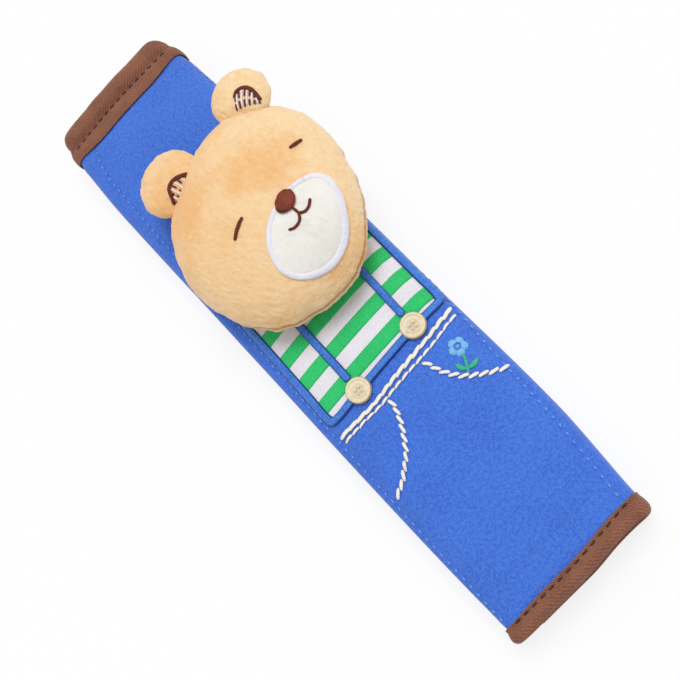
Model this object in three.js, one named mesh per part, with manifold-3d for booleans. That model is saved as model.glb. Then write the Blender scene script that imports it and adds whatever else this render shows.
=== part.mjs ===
// Seat belt shoulder pad: a padded sleeve that closes round the belt, with a sewn-on plush bear head
// and embroidered dungarees. Millimetres: +X across the pad, +Y towards the head end, +Z out of the
// front. The origin is the middle of the back panel's outer face, on which the pad lies.
import * as THREE from 'three';
import { mergeVertices } from 'three/addons/utils/BufferGeometryUtils.js';
import Module from 'manifold-3d';

// Sleeve: overall sizes
const padLength = 285;
const endHalfWidth = 32.5;
const middleHalfWidth = 35;
const sideBow = 1.8;
const frontCrown = 1.9;
const foldReach = 7;

// Sleeve: layers and clearances
const clothThickness = 1;
const liningThickness = 0.7;
const foamThickness = 4;
const tapeThickness = 0.6;
const stripThickness = 0.9;
const beltSpace = 5.6;
const layerGap = 0.3;

// Closure along the back
const backPanelEdge = -24;
const innerFlapEdge = -2;
const stripWidth = 18.5;
const stripEndInset = 27.5;

// Bindings at both ends, and the stretch over which the sleeve is squeezed towards them
const headBindingWidth = 17.4;
const tailBindingWidth = 7.4;
const headStitchFromEdge = 7.1;
const tailStitchFromEdge = 1.7;
const squeezedFoam = 2;
const squeezedStretch = 18.5;
const squeezeLength = 29;

// Threads, and how far apart the visible stitches are
const fineThread = { across: 0.7, tall: 0.4 };
const thickThread = { across: 1.6, tall: 1 };
const thinThread = { across: 1, tall: 0.7 };
const upperWaistPitch = 4.9;
const lowerWaistPitch = 3.9;
const pocketPitch = 4.1;

// Shirt applique
const shirtTop = 14.6;
const shirtThickness = 0.4;
const stripeCount = 4;
const stripeWidth = 5.9;
const stripePitch = 11.9;
const firstStripe = 2.9;
const stripeSlope = 0.038;
const stripeThickness = 0.3;
const satinWidth = 3;
const satinHeight = 1.2;
const borderCornerCut = 1.6;
const suspenderHeight = 0.9;
const buttonRadius = 5.1;
const buttonHeight = 1.4;

// Head
const headCentre = new THREE.Vector2(11, 32.6);
const seamHeight = 30;
const frontDome = 17.5;
const domePower = 2.3;
const domeRound = 0.55;
const plushThickness = 2;
const earThickness = 4.5;
const earTilt = -0.25;
const muzzleThickness = 0.9;
const muzzleSatinWidth = 2.2;
const muzzleSatinHeight = 1.2;

// Heights of the layers, added up from the back panel
const backLiningTop = clothThickness + layerGap + liningThickness;
const hookMiddle = backLiningTop + layerGap + stripThickness / 2;
const loopMiddle = hookMiddle + stripThickness + layerGap;
const flapBottom = loopMiddle + stripThickness / 2 + layerGap;
const flapLiningTop = flapBottom + backLiningTop;
const liningBottom = flapLiningTop + beltSpace;
const liningTop = liningBottom + liningThickness;
const foamBottom = liningTop + layerGap;
const foamTop = foamBottom + foamThickness;
const frontTop = foamTop + layerGap + clothThickness;
const sideTop = frontTop - frontCrown;
const foldCentre = middleHalfWidth - foldReach;
const leftFold = { middle: (sideTop + flapBottom) / 2, rise: (sideTop - flapBottom) / 2 };
const rightFold = { middle: sideTop / 2, rise: sideTop / 2 };
const tapeBuild = tapeThickness + layerGap;
const halfLength = padLength / 2;
const clothEnd = halfLength - tapeBuild;
const stripEnd = halfLength - stripEndInset;
const squeezeEnd = halfLength - squeezedStretch;
const squeezeStart = squeezeEnd - squeezeLength;
const headBindingEdge = halfLength - headBindingWidth;
const tailBindingEdge = tailBindingWidth - halfLength;
const backDome = seamHeight - frontTop - layerGap;

// Levels of the flat design, and how far each one moves where the ends are squeezed: the tape lifts
// the back panel, and the foam's top comes down
const channelLift = 0.9;
const backLift = tapeBuild;
const flapLift = 0.4;
const foamDrop = foamThickness - squeezedFoam;
const squeezeLevels = [
  { level: 0, lift: backLift },
  { level: flapBottom, lift: flapLift },
  { level: flapLiningTop, lift: flapLift },
  { level: liningBottom, lift: channelLift },
  { level: foamBottom, lift: channelLift },
  { level: foamTop, lift: channelLift - foamDrop },
];

// Places along the length where every layer of the sleeve has an edge, so that the layers stay parallel
const quarterPlaces = [
  squeezeStart / 2, squeezeStart, squeezeStart + squeezeLength / 3, stripEnd, squeezeEnd,
].sort((a, b) => a - b);
const lengthPlaces = [...quarterPlaces.map((y) => -y).reverse(), 0, ...quarterPlaces];

const wasm = await Module();
wasm.setup();

const part = new THREE.Group();

function finish(color, roughness) {
  return { color, roughness, metalness: 0 };
}

const blueCloth = finish(0x3a6bd2, 0.9);
const blueLining = finish(0x3561bd, 0.95);
const foam = finish(0xe9e4d2, 0.95);
const navyStrip = finish(0x26355f, 0.8);
const brownTape = finish(0x6e4436, 0.85);
const brownThread = finish(0x3a1f19, 0.7);
const blueThread = finish(0x6c98ec, 0.7);
const creamThread = finish(0xf1ead6, 0.65);
const whiteCloth = finish(0xe6e2ea, 0.9);
const greenCloth = finish(0x23c268, 0.9);
const blueSatin = finish(0x1d5fcf, 0.5);
const skyThread = finish(0x7cc4f2, 0.6);
const leafThread = finish(0x35b98a, 0.6);
const peachPlush = finish(0xf6cf93, 1);
const fibre = finish(0xf4f1ea, 1);
const muzzleCloth = finish(0xeeebe2, 0.95);
const whiteSatin = finish(0xe4e3f0, 0.6);
const noseSatin = finish(0x6b2413, 0.5);
const faceThread = finish(0x4a1d14, 0.6);

function add(name, geometry, look) {
  const mesh = new THREE.Mesh(geometry, new THREE.MeshStandardMaterial(look));
  mesh.name = name;
  part.add(mesh);
}

// Moves every vertex of a geometry, given as (x, y, z), to the point that place returns
function reshape(geometry, place) {
  const position = geometry.getAttribute('position');
  const target = new THREE.Vector3();
  for (let i = 0; i < position.count; i += 1) {
    target.copy(place(position.getX(i), position.getY(i), position.getZ(i)));
    position.setXYZ(i, target.x, target.y, target.z);
  }
  geometry.deleteAttribute('normal');
  geometry.deleteAttribute('uv');
  return mergeVertices(geometry, 1e-4);
}

function toSolid(geometry) {
  const vertProperties = Float32Array.from(geometry.getAttribute('position').array);
  const triVerts = Uint32Array.from(geometry.index.array);
  return new wasm.Manifold(new wasm.Mesh({ numProp: 3, vertProperties, triVerts }));
}

function toGeometry(solid) {
  const mesh = solid.getMesh();
  const geometry = new THREE.BufferGeometry();
  geometry.setAttribute('position', new THREE.BufferAttribute(mesh.vertProperties, 3));
  geometry.setIndex(new THREE.BufferAttribute(mesh.triVerts, 1));
  return geometry;
}

function joined(geometries) {
  return geometries.map(toSolid).reduce((sum, solid) => sum.add(solid));
}

function cut(geometry, cutter) {
  return toGeometry(toSolid(geometry).subtract(toSolid(cutter)));
}

// Half the sleeve's width at a place along its length
function halfWidthAt(y) {
  const share = Math.abs(y) / halfLength;
  return endHalfWidth + (middleHalfWidth - endHalfWidth) * (1 - share ** 3);
}

// Height of a layer where the bound ends squeeze the sleeve
function squeezed(z, y) {
  const share = THREE.MathUtils.smoothstep(Math.abs(y), squeezeStart, squeezeEnd);
  const lowest = squeezeLevels[0];
  const highest = squeezeLevels.at(-1);
  if (z <= lowest.level) return z + share * lowest.lift;
  if (z >= highest.level) return z + share * highest.lift;
  const next = squeezeLevels.findIndex(({ level }) => z < level);
  const below = squeezeLevels[next - 1];
  const above = squeezeLevels[next];
  return z + share * THREE.MathUtils.mapLinear(z, below.level, above.level, below.lift, above.lift);
}

// Takes a point of the flat design to its place on the finished sleeve
function settle(x, y, z) {
  const bow = sideBow * (1 - (y / halfLength) ** 2);
  return new THREE.Vector3((x * halfWidthAt(y)) / middleHalfWidth + bow, y, squeezed(z, y));
}

// Height of the front in the flat design, at a distance below the cover's outer face
function frontHeight(x, inset) {
  if (Math.abs(x) <= foldCentre) return frontTop - frontCrown * (x / foldCentre) ** 2 - inset;
  const fold = x < 0 ? leftFold : rightFold;
  const out = (Math.abs(x) - foldCentre) / (foldReach - inset);
  return fold.middle + (fold.rise - inset) * Math.sqrt(Math.max(0, 1 - out ** 2));
}

function frontSlope(x) {
  const step = 0.05;
  return (frontHeight(x + step, 0) - frontHeight(x - step, 0)) / (2 * step);
}

// How much of a width laid on the front shows in plan: less on the side folds
function frontFlatness(x) {
  return 1 / Math.hypot(1, frontSlope(x));
}

// A point at a height above the cover's front, measured square to it
function onFront(x, y, height) {
  const scale = height * frontFlatness(x);
  return settle(x - frontSlope(x) * scale, y, frontHeight(x, 0) + scale);
}

// Points round a side fold between two angles, counted from below; every layer bends at the same angles
function foldPoints(fold, side, inset, from, to) {
  const bend = Math.PI / 9;
  const turns = [from];
  for (let turn = bend; turn < Math.PI; turn += bend) {
    if (turn > from && turn < to) turns.push(turn);
  }
  turns.push(to);
  return turns.map((turn) => new THREE.Vector2(
    side * (foldCentre + (foldReach - inset) * Math.sin(turn)),
    fold.middle + side * (fold.rise - inset) * Math.cos(turn),
  ));
}

// Points across the crowned front between two places, both included
const crownSteps = 8;
function crownPoints(from, to, inset) {
  const points = [];
  for (let i = 0; i <= crownSteps; i += 1) {
    const x = THREE.MathUtils.lerp(from, to, i / crownSteps);
    points.push(new THREE.Vector2(x, frontHeight(x, inset)));
  }
  return points;
}

// Section of the cover's face: inner flap, left fold, front, right fold and back panel
function coverLine(inset, overhang) {
  return [
    new THREE.Vector2(innerFlapEdge + overhang, flapBottom + inset),
    ...foldPoints(leftFold, -1, inset, 0, Math.PI),
    ...crownPoints(-foldCentre, foldCentre, inset).slice(1, -1),
    ...foldPoints(rightFold, 1, inset, 0, Math.PI),
    new THREE.Vector2(backPanelEdge - overhang, inset),
  ];
}

// Section of the lining's face: it follows the cover round the folds and lies flat below the foam
function liningLine(inset, overhang) {
  const depth = clothThickness + layerGap + inset;
  const level = liningTop - inset;
  const leave = Math.acos((leftFold.middle - level) / (leftFold.rise - depth));
  const enter = Math.acos((level - rightFold.middle) / (rightFold.rise - depth));
  return [
    new THREE.Vector2(innerFlapEdge + overhang, flapBottom + depth),
    ...foldPoints(leftFold, -1, depth, 0, leave),
    ...foldPoints(rightFold, 1, depth, enter, Math.PI),
    new THREE.Vector2(backPanelEdge - overhang, depth),
  ];
}

// A section of the flat design run along the sleeve and settled into its finished shape
function runAlong(outline, from, to) {
  const places = [from, ...lengthPlaces.filter((y) => y > from && y < to), to];
  const steps = places.length - 1;
  const options = { depth: steps, steps, bevelEnabled: false };
  const geometry = new THREE.ExtrudeGeometry(new THREE.Shape(outline), options);
  return reshape(geometry, (x, z, depth) => settle(x, places[steps - Math.round(depth)], z));
}

function ribbon(outer, inner) {
  return [...outer, ...inner.reverse()];
}

function stripOutline(middle) {
  const left = (backPanelEdge + innerFlapEdge - stripWidth) / 2;
  const right = left + stripWidth;
  const bottom = middle - stripThickness / 2;
  const top = middle + stripThickness / 2;
  const corners = [[left, bottom], [right, bottom], [right, top], [left, top]];
  return corners.map(([x, z]) => new THREE.Vector2(x, z));
}

function foamOutline() {
  const half = foldCentre + clothThickness;
  return [
    new THREE.Vector2(-half, foamBottom),
    new THREE.Vector2(half, foamBottom),
    ...crownPoints(half, -half, clothThickness + layerGap),
  ];
}

// Folded tape over the sleeve's end: a wall outside, a wall inside the channel and the fold between
function binding(edge, end) {
  const inward = Math.sign(edge - end);
  const panel = (spare) => ribbon(coverLine(-spare, spare), liningLine(liningThickness + spare, spare));
  const between = (a, b) => [Math.min(a, b), Math.max(a, b)];
  const tape = runAlong(panel(tapeBuild), ...between(edge, end));
  const pocket = runAlong(panel(layerGap), ...between(edge + inward, end + inward * tapeThickness));
  return cut(tape, pocket);
}

// A bead of thread laid along a plan curve: place puts each point on the cloth that carries it, and
// swell gives the bead's thickness along its length as a share of its full size
function bead({
  curve, place, across, tall, rest = layerGap, rings = 8, sides = 6, swell = () => 1, flatness = () => 1,
}) {
  const geometry = new THREE.CylinderGeometry(1, 1, 1, sides, rings);
  return reshape(geometry, (side, along, up) => {
    const share = THREE.MathUtils.clamp(along + 0.5, 0, 1);
    const size = swell(share);
    const point = curve.getPointAt(share);
    const tangent = curve.getTangentAt(share);
    const reach = side * size * (across / 2);
    const height = rest + (tall / 2) * (1 + up * size);
    return place(point.x + tangent.y * reach * flatness(point.x), point.y - tangent.x * reach, height);
  });
}

const sewnOnFront = { place: onFront, flatness: frontFlatness };

function spline(...points) {
  return new THREE.SplineCurve(points.map(([x, y]) => new THREE.Vector2(x, y)));
}

// Running stitches as one thread: thick where it shows, thin where it dips at each needle hole
function stitchRow(curve, pitch, thread) {
  const count = Math.round(curve.getLength() / pitch);
  const rings = count * 3;
  const neck = 0.45;
  const swell = (share) => (Math.round(share * rings) % 3 === 0 ? neck : 1);
  return bead({ ...sewnOnFront, ...thread, curve, rings, sides: 4, swell });
}

// Sleeve
const coverRibbon = ribbon(coverLine(0, 0), coverLine(clothThickness, 0));
const liningRibbon = ribbon(liningLine(0, 0), liningLine(liningThickness, 0));
add('outer_cover', runAlong(coverRibbon, -clothEnd, clothEnd), blueCloth);
add('lining', runAlong(liningRibbon, -clothEnd, clothEnd), blueLining);
add('foam_pad', runAlong(foamOutline(), -clothEnd, clothEnd), foam);
add('hook_strip', runAlong(stripOutline(hookMiddle), -stripEnd, stripEnd), navyStrip);
add('loop_strip', runAlong(stripOutline(loopMiddle), -stripEnd, stripEnd), navyStrip);
add('head_end_binding', binding(headBindingEdge, halfLength), brownTape);
add('tail_end_binding', binding(tailBindingEdge, -halfLength), brownTape);

// Lockstitch threads across the bindings; each single stitch is finer than a solid
const endStitches = {
  head: headBindingEdge + headStitchFromEdge,
  tail: tailBindingEdge - tailStitchFromEdge,
};
const endRowReach = middleHalfWidth - 4;
for (const [end, y] of Object.entries(endStitches)) {
  const curve = spline([-endRowReach, y], [endRowReach, y]);
  const rest = tapeBuild + layerGap;
  const strand = bead({ ...sewnOnFront, ...fineThread, curve, rest, rings: 16, sides: 4 });
  add(`${end}_end_stitch`, strand, brownThread);
}

// Lockstitch threads along both sides, each point given by its distance in from the side
const sideRows = {
  left: [
    [11.5, headBindingEdge], [7.5, 101], [4.8, 3.6], [3.1, -65.4], [2, tailBindingEdge],
  ].map(([inset, y]) => [inset - middleHalfWidth, y]),
  right: [
    [5.7, tailBindingEdge], [4.3, -98.4], [3.1, -64.4], [0.8, -33.4],
    [0.4, 2.6], [0.5, 62.6], [1, headBindingEdge],
  ].map(([inset, y]) => [middleHalfWidth - inset, y]),
};
const rowClearance = 1;
const rowStart = tailBindingEdge + rowClearance;
const rowStop = headBindingEdge - rowClearance;
for (const [side, points] of Object.entries(sideRows)) {
  const rowEnd = (y) => THREE.MathUtils.clamp(y, rowStart, rowStop);
  const curve = spline(...points.map(([x, y]) => [x, rowEnd(y)]));
  add(`${side}_side_stitch`, bead({ ...sewnOnFront, ...fineThread, curve, rings: 24, sides: 4 }), blueThread);
}

// Shirt applique: its plan is a four-sided patch, and the satin border runs round three of its sides
const topLeft = new THREE.Vector2(7.9 - middleHalfWidth, shirtTop);
const bottomLeft = new THREE.Vector2(6.5 - middleHalfWidth, -40.8);
const bottomRight = new THREE.Vector2(middleHalfWidth - 2.9, -37);
const topRight = new THREE.Vector2(middleHalfWidth - 1.8, shirtTop);
function shirtEdge(side, y) {
  const [top, bottom] = side < 0 ? [topLeft, bottomLeft] : [topRight, bottomRight];
  const edge = THREE.MathUtils.mapLinear(y, top.y, bottom.y, top.x, bottom.x);
  return edge - side * (satinWidth / 2 + layerGap) * frontFlatness(edge);
}
function shirtBottom(x) {
  const edge = THREE.MathUtils.mapLinear(x, bottomLeft.x, bottomRight.x, bottomLeft.y, bottomRight.y);
  return edge + satinWidth / 2 + layerGap;
}

// Shares of the shirt's width at which its cloth bends: even on the front, closer on the right fold
const shirtBends = [0, 0.13, 0.26, 0.39, 0.52, 0.65, 0.79, 0.925, 0.95, 0.975, 1];

// A flat patch between two heights above the cover, from the lower edge line to the upper one
function patch(rows, low, high, lowerEdge, upperEdge) {
  const columns = shirtBends.length - 1;
  const geometry = new THREE.BoxGeometry(columns, 1, 1, columns, rows, 1);
  return reshape(geometry, (u, v, w) => {
    const share = shirtBends[Math.round(u + columns / 2)];
    const guess = THREE.MathUtils.lerp(bottomLeft.x, bottomRight.x, share);
    const y = THREE.MathUtils.lerp(lowerEdge(guess), upperEdge(guess), v + 0.5);
    const x = THREE.MathUtils.lerp(shirtEdge(-1, y), shirtEdge(1, y), share);
    return onFront(x, y, w < 0 ? low : high);
  });
}
const shirtFace = layerGap + shirtThickness;
const stripeFace = shirtFace + layerGap + stripeThickness;
add('shirt_panel', patch(2, layerGap, shirtFace, shirtBottom, () => shirtTop), whiteCloth);
for (let i = 0; i < stripeCount; i += 1) {
  const middle = (x) => firstStripe - stripePitch * i + stripeSlope * x;
  const lower = (x) => middle(x) - stripeWidth / 2;
  const upper = (x) => middle(x) + stripeWidth / 2;
  add(`shirt_stripe_${i + 1}`, patch(1, shirtFace + layerGap, stripeFace, lower, upper), greenCloth);
}

function borderPath() {
  const cutPoint = (corner, towards) => {
    const share = borderCornerCut / corner.distanceTo(towards);
    return corner.clone().lerp(towards, share);
  };
  const leftEnd = cutPoint(bottomLeft, topLeft);
  const bottomStart = cutPoint(bottomLeft, bottomRight);
  const bottomEnd = cutPoint(bottomRight, bottomLeft);
  const rightStart = cutPoint(bottomRight, topRight);
  const path = new THREE.CurvePath();
  path.add(new THREE.LineCurve(topLeft, leftEnd));
  path.add(new THREE.QuadraticBezierCurve(leftEnd, bottomLeft, bottomStart));
  path.add(new THREE.LineCurve(bottomStart, bottomEnd));
  path.add(new THREE.QuadraticBezierCurve(bottomEnd, bottomRight, rightStart));
  path.add(new THREE.LineCurve(rightStart, topRight));
  return path;
}
const satinBead = { ...sewnOnFront, across: satinWidth, tall: satinHeight };
add('shirt_border', bead({ ...satinBead, curve: borderPath(), rings: 40 }), blueSatin);

// Buttons, and the suspenders that run down to them from under the head
const buttons = {
  left: { centre: new THREE.Vector2(-12.6, -39.8), strapTop: new THREE.Vector2(-11.8, 2.6), strapWidth: 3.5 },
  right: { centre: new THREE.Vector2(18.5, -37.5), strapTop: new THREE.Vector2(20, 2.6), strapWidth: 3 },
};
const buttonFoot = layerGap + satinHeight + layerGap;
const buttonRim = buttonRadius - 0.7;
const buttonDish = buttonHeight - 0.35;
const buttonProfile = [
  [0, 0], [buttonRim, 0], [buttonRadius, 0.35], [buttonRadius, buttonDish], [buttonRim, buttonHeight],
  [buttonRim - 0.9, buttonDish], [buttonRim - 1.8, buttonDish - 0.1], [1.2, buttonDish], [0, buttonDish],
].map(([radius, height]) => new THREE.Vector2(radius, height));
for (const [side, { centre, strapTop, strapWidth }] of Object.entries(buttons)) {
  const strapFoot = new THREE.Vector2(centre.x, centre.y + buttonRadius + layerGap);
  const strap = {
    ...sewnOnFront,
    curve: new THREE.LineCurve(strapTop, strapFoot),
    across: strapWidth,
    tall: suspenderHeight,
    rest: stripeFace + layerGap,
  };
  add(`${side}_suspender`, bead(strap), blueSatin);
  const disc = new THREE.LatheGeometry(buttonProfile, 16);
  const onButton = (x, height, z) => onFront(centre.x + x, centre.y - z, buttonFoot + height);
  add(`${side}_button`, reshape(disc, onButton), creamThread);
}

// Waistband and pocket stitches, whose outer ends lie at the sides
const bandLeft = 5 - middleHalfWidth;
const bandRight = middleHalfWidth - 2.8;
const waistUpper = spline(
  [bandLeft, -46.6], [-19, -47.2], [-11, -47.3], [0, -46], [18.8, -44.4], [bandRight, -41.9],
);
const waistLower = spline(
  [bandLeft, -49.1], [-19, -49.3], [-11, -49.6], [0, -48.7], [18.8, -47.4], [bandRight, -44.7],
);
const leftPocket = spline(
  [-6.5, -51.4], [-8, -54.7], [-10, -59.4], [-13.4, -64.4], [-17.2, -68.6], [-22, -72.6], [bandLeft, -77.2],
);
const rightPocket = spline(
  [11, -50.6], [12.6, -53.8], [14.5, -58.2], [17.4, -62.4], [20.8, -66.1], [24.7, -69.2],
  [bandRight - 1.6, -72.2],
);
add('waistband_stitch_upper', stitchRow(waistUpper, upperWaistPitch, thickThread), creamThread);
add('waistband_stitch_lower', stitchRow(waistLower, lowerWaistPitch, thinThread), creamThread);
add('left_pocket_stitch', stitchRow(leftPocket, pocketPitch, thickThread), creamThread);
add('right_pocket_stitch', stitchRow(rightPocket, pocketPitch, thickThread), creamThread);

// Embroidered flower beside the right pocket
const flower = { centre: new THREE.Vector2(23.9, -54.5), radius: 3.7, eye: 1.3, height: 0.8 };
const petals = { count: 5, depth: 0.14, steps: 30 };
const petalLine = [];
for (let i = 0; i < petals.steps; i += 1) {
  const turn = (i / petals.steps) * 2 * Math.PI;
  const radius = flower.radius * (1 - petals.depth + petals.depth * Math.cos(petals.count * turn));
  petalLine.push(new THREE.Vector2(radius * Math.cos(turn), radius * Math.sin(turn)));
}
const onFlower = (x, y, height) => onFront(flower.centre.x + x, flower.centre.y + y, layerGap + height);
const petalOptions = { depth: flower.height, bevelEnabled: false };
const petalDisc = new THREE.ExtrudeGeometry(new THREE.Shape(petalLine), petalOptions);
add('flower_petals', reshape(petalDisc, onFlower), skyThread);
const eyeFoot = flower.height + layerGap + flower.eye / 2;
const eyeDome = new THREE.SphereGeometry(flower.eye, 10, 6);
add('flower_centre', reshape(eyeDome, (x, y, z) => onFlower(x, y, eyeFoot + z / 2)), blueSatin);
const stalk = { ...sewnOnFront, tall: 0.7, sides: 6, rings: 4 };
const leaf = { ...stalk, swell: (share) => 0.25 + Math.sin(Math.PI * share) * 0.75 };
add('flower_stem', toGeometry(joined([
  bead({ ...stalk, curve: spline([22.1, -58.7], [21.4, -61.4], [20.7, -64]), across: 1 }),
  bead({ ...leaf, curve: spline([21.3, -62.1], [20.3, -60.4], [19, -59]), across: 1.5 }),
  bead({ ...leaf, curve: spline([21.1, -62.2], [23.3, -62.8], [25.7, -62.4]), across: 1.6 }),
])), leafThread);

// Head: its seam line in plan, read as a radius about the head's centre
const seamLine = new THREE.CatmullRomCurve3([
  [11, -11.8], [24.2, -9.6], [34.1, -2.1], [44.4, 11.9], [49.4, 26.6], [51.2, 41.6], [49.1, 55.8],
  [43.6, 65.2], [35.4, 71.8], [26.3, 75.6], [15, 76], [5.1, 74.2], [-5.8, 69.2], [-16.7, 62.8],
  [-24, 52.3], [-28.5, 38.5], [-28.9, 25.6], [-24.8, 8.8], [-12.8, -5.3], [0, -10.2],
].map(([x, y]) => new THREE.Vector3(x - headCentre.x, y - headCentre.y, 0)), true, 'centripetal');
const seamRadii = seamLine.getPoints(240).slice(0, -1)
  .map((point) => ({ turn: Math.atan2(point.y, point.x), radius: Math.hypot(point.x, point.y) }))
  .sort((a, b) => a.turn - b.turn);

function seamRadius(turn) {
  const after = seamRadii.findIndex((entry) => entry.turn > turn);
  const high = seamRadii[after < 0 ? 0 : after];
  const low = seamRadii.at(after < 0 ? -1 : after - 1);
  const span = THREE.MathUtils.euclideanModulo(high.turn - low.turn, 2 * Math.PI);
  const step = THREE.MathUtils.euclideanModulo(turn - low.turn, 2 * Math.PI);
  return THREE.MathUtils.lerp(low.radius, high.radius, span > 0 ? step / span : 0);
}

function domeShare(share) {
  return Math.max(0, 1 - Math.min(1, share) ** domePower) ** domeRound;
}

// Height of the face at a plan point
function faceHeight(x, y) {
  const out = new THREE.Vector2(x, y).sub(headCentre);
  return seamHeight + frontDome * domeShare(out.length() / seamRadius(Math.atan2(out.y, out.x)));
}

// A point at a height above the face, measured square to it
function onFace(x, y, height) {
  const step = 0.2;
  const slopeX = (faceHeight(x + step, y) - faceHeight(x - step, y)) / (2 * step);
  const slopeY = (faceHeight(x, y + step) - faceHeight(x, y - step)) / (2 * step);
  const scale = height / Math.hypot(1, slopeX, slopeY);
  return new THREE.Vector3(x - slopeX * scale, y - slopeY * scale, faceHeight(x, y) + scale);
}

// A turned profile whose radius follows the head's seam: each point is a share of the seam's radius,
// a distance in from it, and a height
function headTurning(profile) {
  const rows = profile.map(([share], i) => new THREE.Vector2(share, i));
  return reshape(new THREE.LatheGeometry(rows, 28), (x, row, z) => {
    const [share, inset, height] = profile[Math.round(row)];
    const turn = Math.atan2(-z, x);
    const radius = Math.max(0, seamRadius(turn) - inset) * share;
    const spot = new THREE.Vector2(Math.cos(turn), Math.sin(turn)).multiplyScalar(radius).add(headCentre);
    return new THREE.Vector3(spot.x, spot.y, height);
  });
}

// Profile of one half of the head, from the seam to the middle; rise is negative for the back half
const domeShares = [1, 0.975, 0.9, 0.78, 0.62, 0.42, 0.2, 0];
function domeProfile(base, rise, inset) {
  const reach = rise - Math.sign(rise) * inset;
  return domeShares.map((share) => [share, inset, base + reach * domeShare(share)]);
}
const halfGap = layerGap / 2;
const frontOuter = domeProfile(seamHeight + halfGap, frontDome - halfGap, 0);
const frontInner = domeProfile(seamHeight + halfGap, frontDome - halfGap, plushThickness);
const backOuter = domeProfile(seamHeight - halfGap, halfGap - backDome, 0);
const backInner = domeProfile(seamHeight - halfGap, halfGap - backDome, plushThickness);
const fillInset = plushThickness + layerGap;
const fillFront = domeProfile(seamHeight, frontDome, fillInset);
const fillBack = domeProfile(seamHeight, -backDome, fillInset);
add('head_front', headTurning([...frontInner.toReversed(), ...frontOuter]), peachPlush);
add('head_back', headTurning([...backOuter.toReversed(), ...backInner]), peachPlush);
add('head_stuffing', headTurning([...fillBack.toReversed(), ...fillFront.slice(1)]), fibre);

// Ears: puffed discs set into the upper edge of the face. The head, grown by the gap between the
// layers, trims each ear and its embroidery
const grownFront = domeProfile(seamHeight, frontDome, -layerGap);
const grownBack = domeProfile(seamHeight, -backDome, -layerGap);
const grownHead = headTurning([...grownBack.toReversed(), ...grownFront.slice(1)]);

// Each ear's embroidery is drawn in shares of the ear's half width and half height: an arc, and combs
// that run from it towards the head
const ears = {
  left: {
    centre: new THREE.Vector3(-6.5, 72.8, 35),
    half: new THREE.Vector2(15.1, 15.6),
    lean: 0.35,
    arc: spline([-0.48, -0.74], [-0.25, -0.42], [0.04, -0.34], [0.24, -0.48], [0.34, -0.7]),
    combs: [[-0.22, -0.44], [-0.09, -0.38], [0.05, -0.37], [0.19, -0.47]],
  },
  right: {
    centre: new THREE.Vector3(38, 75.4, 35),
    half: new THREE.Vector2(12.2, 14),
    lean: 0.07,
    arc: spline([-0.52, -0.44], [-0.33, -0.19], [0.01, -0.07], [0.25, -0.31], [0.33, -0.72]),
    combs: [[-0.38, -0.26], [-0.22, -0.14], [-0.04, -0.1], [0.12, -0.18]],
  },
};
function earPlacer({ centre, half, lean }) {
  const turned = new THREE.Matrix4().makeRotationZ(lean);
  turned.multiply(new THREE.Matrix4().makeRotationX(earTilt)).setPosition(centre);
  return (u, v, above) => {
    const rise = earThickness * Math.sqrt(Math.max(0, 1 - u ** 2 - v ** 2));
    return new THREE.Vector3(u * half.x, v * half.y, rise + above).applyMatrix4(turned);
  };
}
const earRows = 10;
const earProfile = [];
for (let i = 0; i <= earRows; i += 1) {
  const turn = (i / earRows) * Math.PI;
  earProfile.push(new THREE.Vector2(Math.sin(turn), -Math.cos(turn)));
}
const earThread = { across: 1.5, tall: 0.5, combLength: 4.6 };
for (const [side, ear] of Object.entries(ears)) {
  const place = earPlacer(ear);
  const disc = new THREE.LatheGeometry(earProfile, 20);
  const puffed = reshape(disc, (x, up, z) => place(x, -z, up < 0 ? 2 * earThickness * up : 0));
  add(`${side}_ear`, cut(puffed, grownHead), peachPlush);
  const thread = { place, tall: earThread.tall, sides: 5, across: earThread.across / ear.half.x };
  const comb = ([u, v]) => {
    const curve = spline([u, v], [u, v - earThread.combLength / ear.half.y]);
    return bead({ ...thread, curve, rings: 2, across: thread.across * 0.7, sides: 4 });
  };
  const drawing = joined([bead({ ...thread, curve: ear.arc, rings: 10 }), ...ear.combs.map(comb)]);
  add(`${side}_ear_embroidery`, toGeometry(drawing.subtract(toSolid(grownHead))), faceThread);
}

// Muzzle patch and its satin border, whose plan runs clockwise from the muzzle's left
const muzzleCentre = new THREE.Vector2(20.5, 9.3);
const muzzleLine = spline(
  [2, 6.5], [4.5, 12.9], [9, 17.9], [16.2, 21.8], [23.3, 23.6], [30.4, 24.4], [35.8, 22.4], [38.5, 17.7],
  [37.6, 12], [34, 5], [28.5, -1], [21.2, -4.9], [13.9, -5.6], [7.6, -2.8], [3.2, 1.8], [2, 6.5],
);
function muzzleEdge(turn) {
  return muzzleLine.getPointAt(THREE.MathUtils.euclideanModulo(turn, 2 * Math.PI) / (2 * Math.PI));
}
const muzzleShares = [0, 0.35, 0.65, 0.88];
const muzzleProfile = [
  ...muzzleShares.map((share) => [share, 0]),
  ...muzzleShares.toReversed().map((share) => [share, muzzleThickness]),
];
const muzzleRows = muzzleProfile.map(([share], i) => new THREE.Vector2(share, i));
add('muzzle_patch', reshape(new THREE.LatheGeometry(muzzleRows, 24), (x, row, z) => {
  const [share, height] = muzzleProfile[Math.round(row)];
  const point = muzzleCentre.clone().lerp(muzzleEdge(Math.atan2(z, x)), share);
  return onFace(point.x, point.y, layerGap + height);
}), muzzleCloth);

const ringTube = 0.4;
add('muzzle_border', reshape(new THREE.TorusGeometry(1, ringTube, 6, 32), (x, y, z) => {
  const side = (Math.hypot(x, y) - 1) / ringTube;
  const up = z / ringTube;
  const edge = muzzleEdge(-Math.atan2(y, x));
  const outward = edge.clone().sub(muzzleCentre).normalize();
  const point = edge.add(outward.multiplyScalar(side * (muzzleSatinWidth / 2)));
  return onFace(point.x, point.y, layerGap + (muzzleSatinHeight / 2) * (1 + up));
}), whiteSatin);

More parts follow.
